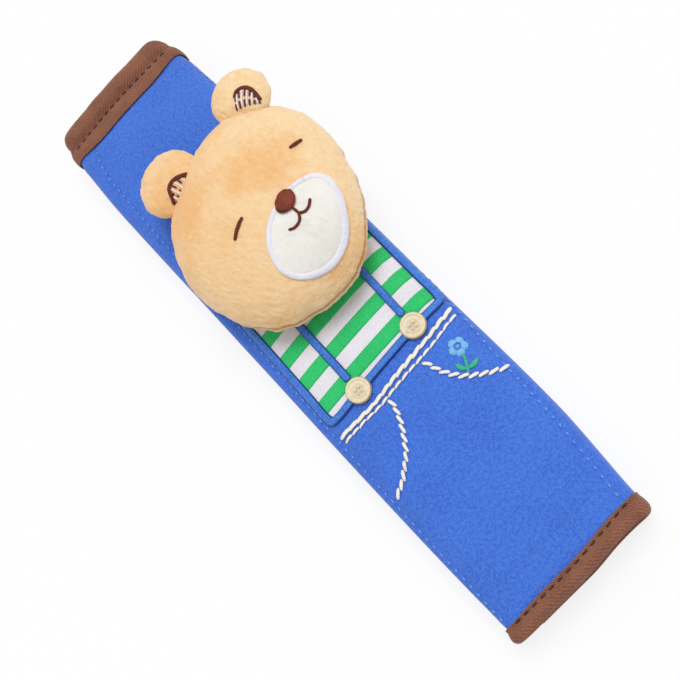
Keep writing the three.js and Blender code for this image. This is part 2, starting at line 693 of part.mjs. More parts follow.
// Nose, mouth and closed eyes
const nose = {
  centre: new THREE.Vector2(21.1, 20.5),
  half: new THREE.Vector2(4.5, 3.8),
  height: 2.2,
  turn: 0.12,
};
const muzzleTop = layerGap + muzzleThickness + layerGap;
add('nose', reshape(new THREE.SphereGeometry(1, 16, 10), (x, y, z) => {
  const narrowing = 1 - 0.25 * Math.max(0, -y);
  const spot = new THREE.Vector2(x * narrowing, y).multiply(nose.half);
  spot.rotateAround(new THREE.Vector2(), nose.turn).add(nose.centre);
  return onFace(spot.x, spot.y, muzzleTop + (nose.height / 2) * (1 + z));
}), noseSatin);

const lip = { place: onFace, rest: muzzleTop, tall: 0.6, across: 0.9 };
add('mouth', toGeometry(joined([
  bead({ ...lip, curve: spline([21.1, 16.2], [21.5, 14]), rings: 2 }),
  bead({
    ...lip,
    curve: spline(
      [14.4, 12.6], [15.8, 11.5], [17.9, 11.2], [21.5, 14.2], [22.6, 13.2], [24.3, 13], [28.2, 16.2],
    ),
    rings: 12,
  }),
])), faceThread);
const lid = {
  place: onFace,
  tall: 0.7,
  across: 1.3,
  swell: (share) => 0.45 + 0.55 * Math.sin(Math.PI * share),
};
add('left_eye', bead({ ...lid, curve: spline([-2.2, 25.6], [1.9, 28.2], [6.4, 29.9]) }), faceThread);
add('right_eye', bead({ ...lid, curve: spline([35.8, 37.2], [39.4, 37], [42.1, 37.6]) }), faceThread);

export default part;
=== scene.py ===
"""Looks of a seat belt shoulder pad with a stuffed bear's head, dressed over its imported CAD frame.

The pad lies on its back: +X across it, +Y towards the head end, +Z out of its front, in metres.
"""

import logging
import math
from bisect import bisect_right
from dataclasses import dataclass, field
from enum import Enum
from typing import Callable, Iterable, Sequence

import bmesh
import bpy
from mathutils import Matrix, Vector, noise
from mathutils.bvhtree import BVHTree
from mathutils.kdtree import KDTree


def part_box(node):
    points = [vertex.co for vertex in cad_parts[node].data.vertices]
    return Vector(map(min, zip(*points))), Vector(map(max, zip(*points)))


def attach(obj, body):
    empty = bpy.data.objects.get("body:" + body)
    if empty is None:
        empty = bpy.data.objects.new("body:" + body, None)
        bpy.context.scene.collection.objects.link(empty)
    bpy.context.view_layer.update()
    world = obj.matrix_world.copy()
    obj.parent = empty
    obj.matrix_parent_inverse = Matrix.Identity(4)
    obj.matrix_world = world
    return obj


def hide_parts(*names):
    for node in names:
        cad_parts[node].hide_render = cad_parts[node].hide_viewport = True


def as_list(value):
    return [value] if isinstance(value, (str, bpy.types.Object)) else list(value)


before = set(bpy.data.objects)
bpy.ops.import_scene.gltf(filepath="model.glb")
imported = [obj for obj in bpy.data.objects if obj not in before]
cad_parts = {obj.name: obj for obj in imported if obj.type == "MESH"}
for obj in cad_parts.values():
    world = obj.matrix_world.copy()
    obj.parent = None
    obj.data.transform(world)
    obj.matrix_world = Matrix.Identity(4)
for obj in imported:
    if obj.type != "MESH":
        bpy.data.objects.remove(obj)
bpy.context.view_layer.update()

log = logging.getLogger("belt_pad")
MM = 0.001
ROOT = "root"
SAME_POINT = 1e-6
UP = Vector((0, 0, 1))

# The cloth is simulated enlarged, because its pressure does nothing at true size
CLOTH_SCALE = 50.0
CLOTH_FRAMES = 20
CLOTH_QUALITY = 4
CLOTH_MASS = 0.3

Point = tuple[float, float]
GridPlace = Callable[[float, float], Vector]
SewnPlace = Callable[[Vector, float], Vector]
Profile = Callable[[float], float]
Depth = Callable[[Vector], float]


# Small helpers for shapes


def clamp(value: float, low: float = 0.0, high: float = 1.0) -> float:
    """Returns the value, held between low and high."""
    return max(low, min(high, value))


def mix(low: float, high: float, share: float) -> float:
    """Returns the number that lies at a share of the way from low to high."""
    return low + (high - low) * share


def ease(value: float, low: float, high: float) -> float:
    """Returns 0 below low, 1 above high and a smooth step between them."""
    share = clamp((value - low) / (high - low))
    return share * share * (3 - 2 * share)


def bell(distance: float, width: float) -> float:
    """Returns 1 at no distance and less further off, in a bell of the given width."""
    return math.exp(-((distance / width) ** 2))


class Path:
    """A smooth plan curve through a few points, read by its share of the whole length."""

    span_steps = 20

    def __init__(self, points: Sequence[Point], closed: bool = False) -> None:
        """Samples the curve.

        Args:
            points: plan points in millimetres.
            closed: whether the last point joins the first.
        """
        knots = [Vector(point) * MM for point in points]
        count = len(knots) if closed else len(knots) - 1
        self.spots: list[Vector] = []
        for index in range(count):
            before, start, end, after = self._neighbours(knots, index, closed)
            for step in range(self.span_steps):
                self.spots.append(self._between(before, start, end, after, step / self.span_steps))
        self.spots.append(knots[0].copy() if closed else knots[-1].copy())
        self.lengths = [0.0]
        for last, spot in zip(self.spots, self.spots[1:]):
            self.lengths.append(self.lengths[-1] + (spot - last).length)
        self.length = self.lengths[-1]

    @staticmethod
    def _neighbours(knots: list[Vector], index: int, closed: bool) -> tuple[Vector, ...]:
        """Returns the four knots that shape one span of the curve."""
        if closed:
            return tuple(knots[(index + shift) % len(knots)] for shift in (-1, 0, 1, 2))
        last = len(knots) - 1
        return tuple(knots[int(clamp(index + shift, 0, last))] for shift in (-1, 0, 1, 2))

    @staticmethod
    def _between(before: Vector, start: Vector, end: Vector, after: Vector, t: float) -> Vector:
        """Returns a Catmull-Rom point between start and end."""
        slope_in = (end - before) * 0.5
        slope_out = (after - start) * 0.5
        return (
            start * (2 * t**3 - 3 * t**2 + 1)
            + slope_in * (t**3 - 2 * t**2 + t)
            + end * (3 * t**2 - 2 * t**3)
            + slope_out * (t**3 - t**2)
        )

    def at(self, share: float) -> tuple[Vector, Vector]:
        """Returns the point at a share of the length, and the direction there."""
        reach = clamp(share) * self.length
        high = min(bisect_right(self.lengths, reach), len(self.lengths) - 1)
        low = high - 1
        span = max(self.lengths[high] - self.lengths[low], 1e-9)
        spot = self.spots[low].lerp(self.spots[high], (reach - self.lengths[low]) / span)
        return spot, (self.spots[high] - self.spots[low]).normalized()


class Ground:
    """The finished surface on which other pieces are sewn, felt for from above."""

    ray_height = 0.2
    near_height = 0.01

    def __init__(self, pieces: Iterable[bpy.types.Object]) -> None:
        """Gathers the pieces' finished meshes.

        Args:
            pieces: the objects that carry what is sewn on.
        """
        gathered = bmesh.new()
        graph = bpy.context.evaluated_depsgraph_get()
        for piece in pieces:
            mesh = piece.evaluated_get(graph).to_mesh()
            gathered.from_mesh(mesh)
        self.tree = BVHTree.FromBMesh(gathered)
        gathered.free()

    def drop(self, spot: Vector) -> tuple[Vector, Vector]:
        """Returns the surface point below a plan point, and the normal there."""
        start = Vector((spot.x, spot.y, self.ray_height))
        place, normal, _, _ = self.tree.ray_cast(start, -UP)
        if place is None:
            place, normal, _, _ = self.tree.find_nearest(Vector((spot.x, spot.y, self.near_height)))
        return place, normal if normal.z > 0 else -normal

    def lift(self, spot: Vector, height: float, spread: float = 1.2 * MM) -> Vector:
        """Returns the point at a height above a plan point, square to the surface there.

        Args:
            spot: the plan point.
            height: the height above the surface.
            spread: how far round the point the surface is read, so that small dents are bridged.
        """
        place, normal = self.drop(spot)
        for shift in ((spread, 0), (-spread, 0), (0, spread), (0, -spread)):
            normal = normal + self.drop(spot + Vector(shift))[1]
        return place + normal.normalized() * height


def to_object(name: str, shape: bmesh.types.BMesh, smooth: bool = True) -> bpy.types.Object:
    """Turns a bmesh into an object of the scene.

    Args:
        name: the piece's name.
        shape: the bmesh, which is freed.
        smooth: whether its faces are shaded smooth.

    Returns:
        The new object.
    """
    mesh = bpy.data.meshes.new(name)
    shape.to_mesh(mesh)
    shape.free()
    mesh.polygons.foreach_set("use_smooth", [smooth] * len(mesh.polygons))
    piece = bpy.data.objects.new(name, mesh)
    bpy.context.scene.collection.objects.link(piece)
    return piece


def grid_piece(
    name: str,
    columns: Sequence[float],
    rows: Sequence[float],
    place: GridPlace,
    chart: Callable[[float, float], Point],
) -> bpy.types.Object:
    """Lays a grid of cloth into place.

    Args:
        name: the piece's name.
        columns: the grid's first coordinate at each column.
        rows: its second coordinate at each row.
        place: gives the place of a grid point.
        chart: gives its place on the flat cloth, in metres, for the UV map.

    Returns:
        The new object, whose normals follow the grid's own turn.
    """
    shape = bmesh.new()
    across, along = len(columns) - 1, len(rows) - 1
    bmesh.ops.create_grid(shape, x_segments=across, y_segments=along, size=0.5)
    spots = {}
    for vertex in shape.verts:
        column = columns[round((vertex.co.x + 0.5) * across)]
        row = rows[round((vertex.co.y + 0.5) * along)]
        spots[vertex] = chart(column, row)
        vertex.co = place(column, row)
    write_chart(shape, spots)
    return to_object(name, shape)


def write_chart(shape: bmesh.types.BMesh, spots: dict) -> None:
    """Writes each vertex's place on the flat cloth into the UV map."""
    layer = shape.loops.layers.uv.new("flat")
    for face in shape.faces:
        for loop in face.loops:
            loop[layer].uv = spots[loop.vert]


def even(low: float, high: float, step: float) -> list[float]:
    """Returns numbers from low to high, both included, about a step apart."""
    count = max(1, round(abs(high - low) / step))
    return [mix(low, high, index / count) for index in range(count + 1)]


@dataclass(frozen=True)
class Thread:
    """A flat or round bead of thread or satin stitch."""

    across: float
    tall: float
    rest: float = 0.1 * MM
    sides: int = 12
    step: float = 0.9 * MM
    round_ends: float = 0.6


def bead(
    shape: bmesh.types.BMesh,
    path: Path,
    thread: Thread,
    put: SewnPlace,
    swell: Profile = lambda share: 1.0,
) -> None:
    """Adds a bead along a path to a bmesh.

    Args:
        shape: the bmesh to add to.
        path: the plan curve.
        thread: the bead's section.
        put: gives the place of a plan point at a height.
        swell: the bead's size along it, as a share of the full one.
    """
    part = bmesh.new()
    rings = max(4, round(path.length / thread.step))
    bmesh.ops.create_cone(
        part, cap_ends=True, cap_tris=False, segments=thread.sides, radius1=1, radius2=1, depth=1,
    )
    sides = [edge for edge in part.edges if abs(edge.verts[0].co.z - edge.verts[1].co.z) > 0.5]
    bmesh.ops.subdivide_edges(part, edges=sides, cuts=rings - 1)
    spots = {}
    for vertex in part.verts:
        share = clamp(vertex.co.z + 0.5)
        from_end = min(share, 1 - share) * path.length
        cap = thread.across * thread.round_ends
        rounding = math.sqrt(clamp(1 - (1 - clamp(from_end / cap)) ** 2)) if cap > 0 else 1.0
        size = swell(share) * max(rounding, 0.12)
        spot, way = path.at(share)
        side = vertex.co.x * size * thread.across / 2
        height = thread.rest + (thread.tall / 2) * (1 + vertex.co.y * size)
        spots[vertex] = (share * path.length, vertex.co.x * thread.across / 2)
        vertex.co = put(spot + Vector((way.y, -way.x)) * side, height)
    write_chart(part, spots)
    bmesh.ops.recalc_face_normals(part, faces=part.faces)
    join(shape, part)


def join(shape: bmesh.types.BMesh, part: bmesh.types.BMesh) -> None:
    """Adds a finished part to a bmesh, and frees the part."""
    mesh = bpy.data.meshes.new("part")
    part.to_mesh(mesh)
    part.free()
    shape.from_mesh(mesh)
    bpy.data.meshes.remove(mesh)


def bead_piece(
    name: str,
    path: Path,
    thread: Thread,
    put: SewnPlace,
    swell: Profile = lambda share: 1.0,
) -> bpy.types.Object:
    """Makes one bead along a path as a piece of its own; its arguments are those of bead."""
    shape = bmesh.new()
    bead(shape, path, thread, put, swell)
    return to_object(name, shape)


@dataclass(frozen=True)
class Stitch:
    """The stitches of one row: their pitch, their length, width and height, and how they lie."""

    pitch: float
    size: Vector
    slant: float = 0.0
    rest: float = 0.0
    fullness: float = 3.5
    body: float = 0.35
    play_scale: float = 900.0
    turn_play: float = 0.12
    length_play: float = 0.08


def stitch_piece(name: str, path: Path, stitch: Stitch, put: SewnPlace) -> bpy.types.Object:
    """Makes a row of single stitches, each a small rounded grain of thread.

    Args:
        name: the piece's name.
        path: the plan curve of the row.
        stitch: the sizes of its stitches.
        put: gives the place of a plan point at a height.

    Returns:
        The new object.
    """
    shape = bmesh.new()
    spots = {}
    size = stitch.size
    count = max(1, round(path.length / stitch.pitch))
    for index in range(count):
        share = (index + 0.5) / count
        spot, way = path.at(share)
        wander = noise.noise(Vector((spot.x * stitch.play_scale, spot.y * stitch.play_scale, 3.1)))
        way = Matrix.Rotation(stitch.slant + stitch.turn_play * wander, 2) @ way
        across = Vector((way.y, -way.x))
        made = bmesh.ops.create_uvsphere(shape, u_segments=8, v_segments=8, radius=1)
        for vertex in made["verts"]:
            x, y, z = vertex.co
            full = math.sqrt((1 - abs(z) ** stitch.fullness) / max(1 - z**2, 0.001))
            along = z * size.x / 2 * (1 + stitch.length_play * wander)
            side = x * full * size.y / 2
            arch = (1 - z**2) * stitch.body * size.z
            height = stitch.rest + size.z * stitch.body * (1 + y * full) + arch
            spots[vertex] = (share * path.length + along, side)
            vertex.co = put(spot + way * along + across * side, height)
    write_chart(shape, spots)
    bmesh.ops.recalc_face_normals(shape, faces=shape.faces)
    return to_object(name, shape)


def thicken(piece: bpy.types.Object, thickness: float) -> None:
    """Gives a sheet its thickness, inwards, with a live Solidify modifier."""
    wall = piece.modifiers.new("thickness", "SOLIDIFY")
    wall.thickness = thickness
    wall.offset = -1.0
    wall.use_even_offset = False


def face_up(piece: bpy.types.Object) -> None:
    """Turns a sheet's faces so that its highest ones look up."""
    mesh = piece.data
    highest = max(mesh.polygons, key=lambda face: face.center.z)
    if highest.normal.z < 0:
        mesh.flip_normals()


def apply_all(piece: bpy.types.Object) -> None:
    """Applies a piece's modifiers to its mesh."""
    graph = bpy.context.evaluated_depsgraph_get()
    made = bpy.data.meshes.new_from_object(piece.evaluated_get(graph))
    piece.modifiers.clear()
    piece.data = made


def reshape(piece: bpy.types.Object, moved: Callable[[Vector, Vector], Vector]) -> None:
    """Moves each point of a mesh to where a function of its place and normal puts it."""
    mesh = piece.data
    normals = [vertex.normal.copy() for vertex in mesh.vertices]
    for vertex, normal in zip(mesh.vertices, normals):
        vertex.co = moved(vertex.co.copy(), normal)
    mesh.update()


def puff(piece: bpy.types.Object, cap: float, pressure: float, held: Depth | None = None) -> None:
    """Swells a piece as padded cloth under pressure, and keeps each point near its start.

    Args:
        piece: the piece, whose mesh takes the result.
        cap: how far a point may move.
        pressure: the pressure inside.
        held: gives how firmly a point is pinned, from 0 to 1, or None where nothing is.
    """
    mesh = piece.data
    start = [vertex.co.copy() for vertex in mesh.vertices]
    if held:
        group = piece.vertex_groups.new(name="held")
        for vertex in mesh.vertices:
            group.add([vertex.index], held(vertex.co), "REPLACE")
    mesh.transform(Matrix.Scale(CLOTH_SCALE, 4))
    cloth = piece.modifiers.new("swell", "CLOTH")
    cloth.settings.quality = CLOTH_QUALITY
    cloth.settings.mass = CLOTH_MASS
    cloth.settings.use_pressure = True
    cloth.settings.uniform_pressure_force = pressure
    cloth.settings.effector_weights.gravity = 0
    cloth.collision_settings.use_collision = False
    cloth.point_cache.frame_start = 1
    cloth.point_cache.frame_end = CLOTH_FRAMES
    if held:
        cloth.settings.vertex_group_mass = "held"
    for frame_number in range(1, CLOTH_FRAMES + 1):
        bpy.context.scene.frame_set(frame_number)
    graph = bpy.context.evaluated_depsgraph_get()
    swollen = [vertex.co / CLOTH_SCALE for vertex in piece.evaluated_get(graph).data.vertices]
    piece.modifiers.remove(cloth)
    bpy.context.scene.frame_set(1)
    for vertex, place, moved in zip(mesh.vertices, start, swollen):
        shift = moved - place
        vertex.co = place + shift * min(1.0, cap / max(shift.length, 1e-9))
    mesh.update()
    reach = sum((moved - place).length for place, moved in zip(start, swollen)) / len(start)
    log.info("%s: cloth moved %.2f mm on average", piece.name, reach / MM)


# Node groups and finishes


class Graph:
    """Adds and links the nodes of one material or node group."""

    def __init__(self, tree: bpy.types.NodeTree) -> None:
        """Takes the tree to work on."""
        self.tree = tree

    def add(self, kind: str, **settings: object) -> bpy.types.Node:
        """Adds a node and sets its properties."""
        made = self.tree.nodes.new(kind)
        for name, value in settings.items():
            setattr(made, name, value)
        return made

    def feed(self, socket: bpy.types.NodeSocket, value: object) -> None:
        """Links a socket to another, or sets its value."""
        if isinstance(value, bpy.types.NodeSocket):
            self.tree.links.new(value, socket)
        else:
            socket.default_value = value

    def math(self, operation: str, *values: object, clamped: bool = False) -> bpy.types.NodeSocket:
        """Adds a Math node and returns its output."""
        made = self.add("ShaderNodeMath", operation=operation, use_clamp=clamped)
        for socket, value in zip(made.inputs, values):
            self.feed(socket, value)
        return made.outputs[0]

    def noise(
        self, vector: object, scale: object, detail: float = 3.0, rough: float = 0.55,
    ) -> bpy.types.NodeSocket:
        """Adds a Noise Texture and returns its value."""
        made = self.add("ShaderNodeTexNoise")
        self.feed(made.inputs["Vector"], vector)
        self.feed(made.inputs["Scale"], scale)
        made.inputs["Detail"].default_value = detail
        made.inputs["Roughness"].default_value = rough
        return made.outputs["Fac"]

    def wave(self, value: object, pitch: object, wobble: object) -> bpy.types.NodeSocket:
        """Returns a sine of the value that repeats at each pitch, shifted by the wobble."""
        turns = self.math("MULTIPLY", value, self.math("DIVIDE", 2 * math.pi, pitch))
        return self.math("SINE", self.math("ADD", turns, wobble))

    def stretch(self, vector: object, scale: tuple, turn: float = 0.0) -> bpy.types.NodeSocket:
        """Adds a Mapping node that scales and turns a pattern, and returns its vector."""
        made = self.add("ShaderNodeMapping")
        self.feed(made.inputs["Vector"], vector)
        made.inputs["Scale"].default_value = scale
        made.inputs["Rotation"].default_value = (0.0, 0.0, turn)
        return made.outputs[0]

    def split(self, vector: object) -> bpy.types.Node:
        """Adds a Separate XYZ node."""
        made = self.add("ShaderNodeSeparateXYZ")
        self.feed(made.inputs[0], vector)
        return made

    def step(self, value: object, low: float, high: float) -> bpy.types.NodeSocket:
        """Returns the value carried from low and high to 0 and 1, smoothly."""
        made = self.add("ShaderNodeMapRange", interpolation_type="SMOOTHSTEP")
        for socket, given in zip(made.inputs, (value, low, high, 0.0, 1.0)):
            self.feed(socket, given)
        return made.outputs[0]

    def blend(self, share: object, low: object, high: object) -> bpy.types.NodeSocket:
        """Mixes two colours and returns the result."""
        made = self.add("ShaderNodeMix", data_type="RGBA")
        self.feed(made.inputs[0], share)
        self.feed(made.inputs[6], low)
        self.feed(made.inputs[7], high)
        return made.outputs[2]


def new_group(name: str, inputs: dict[str, float | None], outputs: Sequence[str]) -> tuple:
    """Starts a shader node group.

    Args:
        name: the group's name.
        inputs: the inputs' names, each with its value, or None for a vector.
        outputs: the outputs' names, all plain numbers.

    Returns:
        The group's graph, its input node and its output node.
    """
    tree = bpy.data.node_groups.new(name, "ShaderNodeTree")
    for title, value in inputs.items():
        kind = "NodeSocketVector" if value is None else "NodeSocketFloat"
        socket = tree.interface.new_socket(name=title, in_out="INPUT", socket_type=kind)
        if value is not None:
            socket.default_value = value
    for title in outputs:
        tree.interface.new_socket(name=title, in_out="OUTPUT", socket_type="NodeSocketFloat")
    graph = Graph(tree)
    return graph, graph.add("NodeGroupInput"), graph.add("NodeGroupOutput")


class Effects:
    """The node groups that the finishes share, each built once."""

    def __init__(self) -> None:
        """Builds every group."""
        self.mottle = self._mottle()
        self.knit = self._knit()
        self.twill = self._twill()
        self.satin = self._satin()
        self.nap = self._nap()

    @staticmethod
    def _mottle() -> bpy.types.NodeTree:
        """Builds soft patches and fine flecks of lighter and darker dye."""
        graph, given, out = new_group("mottle", {"Vector": None, "Scale": 60.0}, ["Patch", "Fleck"])
        vector, scale = given.outputs["Vector"], given.outputs["Scale"]
        broad = graph.noise(vector, scale, detail=3.0, rough=0.6)
        fine = graph.noise(vector, graph.math("MULTIPLY", scale, 16.0), detail=2.0, rough=0.7)
        graph.feed(out.inputs["Patch"], graph.step(broad, low=0.35, high=0.65))
        graph.feed(out.inputs["Fleck"], graph.step(fine, low=0.38, high=0.62))
        return graph.tree

    @staticmethod
    def _knit() -> bpy.types.NodeTree:
        """Builds the small loops and loose fibres of a brushed knit."""
        graph, given, out = new_group("knit", {"Vector": None, "Pitch": 1.1 * MM}, ["Height", "Fibre"])
        vector, pitch = given.outputs["Vector"], given.outputs["Pitch"]
        parts = graph.split(vector)
        wobble = graph.math("MULTIPLY", graph.noise(vector, scale=420.0, detail=2.0), 3.5)
        across, along = [graph.wave(parts.outputs[axis], pitch, wobble) for axis in range(2)]
        fuzz = graph.noise(vector, scale=1500.0, detail=3.0, rough=0.7)
        height = graph.math("MULTIPLY_ADD", graph.math("MULTIPLY", across, along), 0.22, fuzz)
        graph.feed(out.inputs["Height"], height)
        graph.feed(out.inputs["Fibre"], graph.step(fuzz, low=0.4, high=0.68))
        return graph.tree

    @staticmethod
    def _twill() -> bpy.types.NodeTree:
        """Builds the slanted ribs of a twill tape."""
        graph, given, out = new_group("twill", {"Vector": None, "Pitch": 1.2 * MM}, ["Height", "Rib"])
        vector, pitch = given.outputs["Vector"], given.outputs["Pitch"]
        turned = graph.stretch(vector, (1.0, 1.0, 1.0), turn=math.radians(52))
        wobble = graph.math("MULTIPLY", graph.noise(vector, scale=200.0, detail=2.0), 0.7)
        wave = graph.wave(graph.split(turned).outputs[0], pitch, wobble)
        rib = graph.math("MULTIPLY_ADD", wave, 0.5, 0.5)
        fuzz = graph.noise(vector, scale=1300.0, detail=3.0, rough=0.65)
        graph.feed(out.inputs["Height"], graph.math("MULTIPLY_ADD", fuzz, 0.7, rib))
        graph.feed(out.inputs["Rib"], rib)
        return graph.tree

    @staticmethod
    def _satin() -> bpy.types.NodeTree:
        """Builds threads laid side by side along the first coordinate."""
        graph, given, out = new_group("satin", {"Vector": None, "Pitch": 0.4 * MM}, ["Height", "Thread"])
        vector, pitch = given.outputs["Vector"], given.outputs["Pitch"]
        wobble = graph.math("MULTIPLY", graph.noise(vector, scale=700.0, detail=2.0), 2.4)
        wave = graph.wave(graph.split(vector).outputs[0], pitch, wobble)
        thread = graph.math("MULTIPLY_ADD", wave, 0.5, 0.5)
        graph.feed(out.inputs["Height"], thread)
        graph.feed(out.inputs["Thread"], thread)
        return graph.tree

    @staticmethod
    def _nap() -> bpy.types.NodeTree:
        """Builds the brushed tufts, streaks and patches of a short plush pile."""
        graph, given, out = new_group("nap", {"Vector": None}, ["Height", "Streak", "Patch"])
        vector = given.outputs["Vector"]
        brushed = graph.stretch(vector, (1.0, 0.42, 1.0), turn=math.radians(-24))
        tufts = graph.noise(brushed, scale=760.0, detail=4.0, rough=0.65)
        fibre = graph.noise(brushed, scale=2400.0, detail=2.0, rough=0.6)
        combed = graph.stretch(vector, (1.0, 0.35, 1.0), turn=math.radians(-30))
        streak = graph.noise(combed, scale=300.0, detail=4.0, rough=0.65)
        patch = graph.noise(vector, scale=30.0, detail=3.0, rough=0.55)
        graph.feed(out.inputs["Height"], graph.math("MULTIPLY_ADD", fibre, 0.4, tufts))
        graph.feed(out.inputs["Streak"], graph.step(streak, low=0.34, high=0.66))
        graph.feed(out.inputs["Patch"], graph.step(patch, low=0.42, high=0.68))
        return graph.tree


def linear(red: int, green: int, blue: int) -> tuple[float, float, float, float]:
    """Returns a screen colour, given from 0 to 255, as a linear one with full cover."""
    values = [value / 255 for value in (red, green, blue)]
    made = [value / 12.92 if value <= 0.04045 else ((value + 0.055) / 1.055) ** 2.4 for value in values]
    return (*made, 1.0)


class Weave(Enum):
    """The surface that a finish has."""

    KNIT = "knit"
    TWILL = "twill"
    SATIN = "satin"
    NAP = "nap"


@dataclass(frozen=True)
class Finish:
    """A fabric or thread: its colours, its weave, how it takes light, and the shade painted on its edges,
    its furrows and one side of its pile.
    """

    name: str
    base: tuple
    deep: tuple
    light: tuple
    weave: Weave
    pitch: float = 1.0 * MM
    roughness: float = 0.85
    sheen: float = 0.2
    relief: float = 0.25 * MM
    strength: float = 0.5
    on_cloth: bool = False
    mottling: float = 60.0
    # edge is a painted shade colour, laid along both sides of a band, a rim or a nose, where the rounded
    # surface turns from the light
    edge: tuple | None = None
    edge_shade_from: float = 1.0 * MM
    edge_shade_soft: float = 0.25
    seam: tuple | None = None
    seam_reach: tuple[float, float] = (1.3 * MM, 0.1 * MM)
    # Painted shade of the pile's lie: how far the pile darkens towards −x, and over which x it grows
    side_shade: float = 0.0
    side_shade_reach: tuple[float, float] = (-38 * MM, 16 * MM)
    patches: float = 0.5
    flecks: float = 0.35
    # how far the furrows between threads are darkened: painted shade
    furrow_shade: float = 0.4
    fibres: float = 0.38
    pile_patches: float = 0.45
    gloss_play: float = 0.12
    sheen_roughness: float = 0.5
    specular: float = 0.3

    def build(self, effects: Effects) -> bpy.types.Material:
        """Builds the material.

        Args:
            effects: the shared node groups.

        Returns:
            The new material.
        """
        material = bpy.data.materials.new(self.name)
        material.use_nodes = True
        graph = Graph(material.node_tree)
        shader = material.node_tree.nodes["Principled BSDF"]
        spot = self._spot(graph)
        weave, mask = self._weave(graph, effects, spot)
        tone = self._dye(graph, effects, spot, mask)
        # Plush: random darker patches, and painted shade towards −x
        if self.weave is Weave.NAP:
            tone = self._patches_and_side_shade(graph, spot, weave.outputs["Patch"], tone)
        if self.seam:
            tone = self._seam(graph, spot, tone)
        # Painted shade: the colour darkens towards both sides of the band, where the rounded thread turns
        # from the light
        if self.edge:
            side = graph.math("ABSOLUTE", graph.split(spot).outputs[1])
            near = graph.step(side, self.edge_shade_from * (1 - self.edge_shade_soft), self.edge_shade_from)
            tone = graph.blend(near, tone, self.edge)
        graph.feed(shader.inputs["Base Color"], tone)
        highest = self.roughness + self.gloss_play / 2
        rough = graph.math("MULTIPLY_ADD", mask, -self.gloss_play, highest, clamped=True)
        graph.feed(shader.inputs["Roughness"], rough)
        shader.inputs["Sheen Weight"].default_value = self.sheen
        shader.inputs["Sheen Roughness"].default_value = self.sheen_roughness
        shader.inputs["Specular IOR Level"].default_value = self.specular
        bump = graph.add("ShaderNodeBump")
        bump.inputs["Strength"].default_value = self.strength
        bump.inputs["Distance"].default_value = self.relief
        graph.feed(bump.inputs["Height"], weave.outputs["Height"])
        graph.feed(shader.inputs["Normal"], bump.outputs[0])
        return material

    def _spot(self, graph: Graph) -> bpy.types.NodeSocket:
        """Returns the place that the patterns read: on the flat cloth, or in space."""
        if self.on_cloth:
            return graph.add("ShaderNodeUVMap", uv_map="flat").outputs[0]
        return graph.add("ShaderNodeTexCoord").outputs["Object"]

    def _weave(self, graph: Graph, effects: Effects, spot: object) -> tuple:
        """Places the group of this finish's weave, and returns it with its mask."""
        tree, mask = {
            Weave.KNIT: (effects.knit, "Fibre"),
            Weave.TWILL: (effects.twill, "Rib"),
            Weave.SATIN: (effects.satin, "Thread"),
            Weave.NAP: (effects.nap, "Streak"),
        }[self.weave]
        made = graph.add("ShaderNodeGroup", node_tree=tree)
        graph.feed(made.inputs["Vector"], spot)
        if self.weave is not Weave.NAP:
            made.inputs["Pitch"].default_value = self.pitch
        return made, made.outputs[mask]

    def _dye(self, graph: Graph, effects: Effects, spot: object, mask: object) -> bpy.types.NodeSocket:
        """Returns the cloth's colour with its patches, its flecks and its weave; between satin and twill
        threads the furrows get painted shade.
        """
        mottle = graph.add("ShaderNodeGroup", node_tree=effects.mottle)
        graph.feed(mottle.inputs["Vector"], spot)
        mottle.inputs["Scale"].default_value = self.mottling
        patch = graph.math("MULTIPLY", mottle.outputs["Patch"], self.patches)
        fleck = graph.math("MULTIPLY", mottle.outputs["Fleck"], self.flecks)
        tone = graph.blend(patch, self.base, self.deep)
        tone = graph.blend(fleck, tone, self.light)
        # Painted shade: the furrows between threads are darkened towards the deep colour
        if self.weave in (Weave.SATIN, Weave.TWILL):
            raised = graph.math("MULTIPLY_ADD", mask, self.furrow_shade, 1 - self.furrow_shade)
            return graph.blend(raised, self.deep, tone)
        return graph.blend(graph.math("MULTIPLY", mask, self.fibres), tone, self.light)

    def _patches_and_side_shade(self, graph: Graph, spot: object, patch: object, tone: object) -> bpy.types.NodeSocket:
        """Darkens the pile in random patches, and paints shade on it that grows towards −x: the shade of the
        pile's lie.
        """
        # Painted shade: the pile darkens towards −x
        toward_minus_x = graph.math("MULTIPLY", graph.split(spot).outputs[0], -1.0)
        side_shade = graph.math("MULTIPLY", graph.step(toward_minus_x, *self.side_shade_reach), self.side_shade)
        return graph.blend(graph.math("MULTIPLY_ADD", patch, self.pile_patches, side_shade), tone, self.deep)

    def _seam(self, graph: Graph, spot: object, tone: object) -> bpy.types.NodeSocket:
        """Tints the head's seam, which rises towards the chin."""
        parts = graph.split(spot)
        down = graph.math("MULTIPLY", parts.outputs[1], -1.0)
        chin = graph.step(down, Head.chin_from, Head.chin_to)
        middle = graph.math("MULTIPLY_ADD", chin, Head.chin_rise, Head.seam_height)
        off = graph.math("ABSOLUTE", graph.math("SUBTRACT", parts.outputs[2], middle))
        return graph.blend(graph.step(off, *self.seam_reach), tone, self.seam)


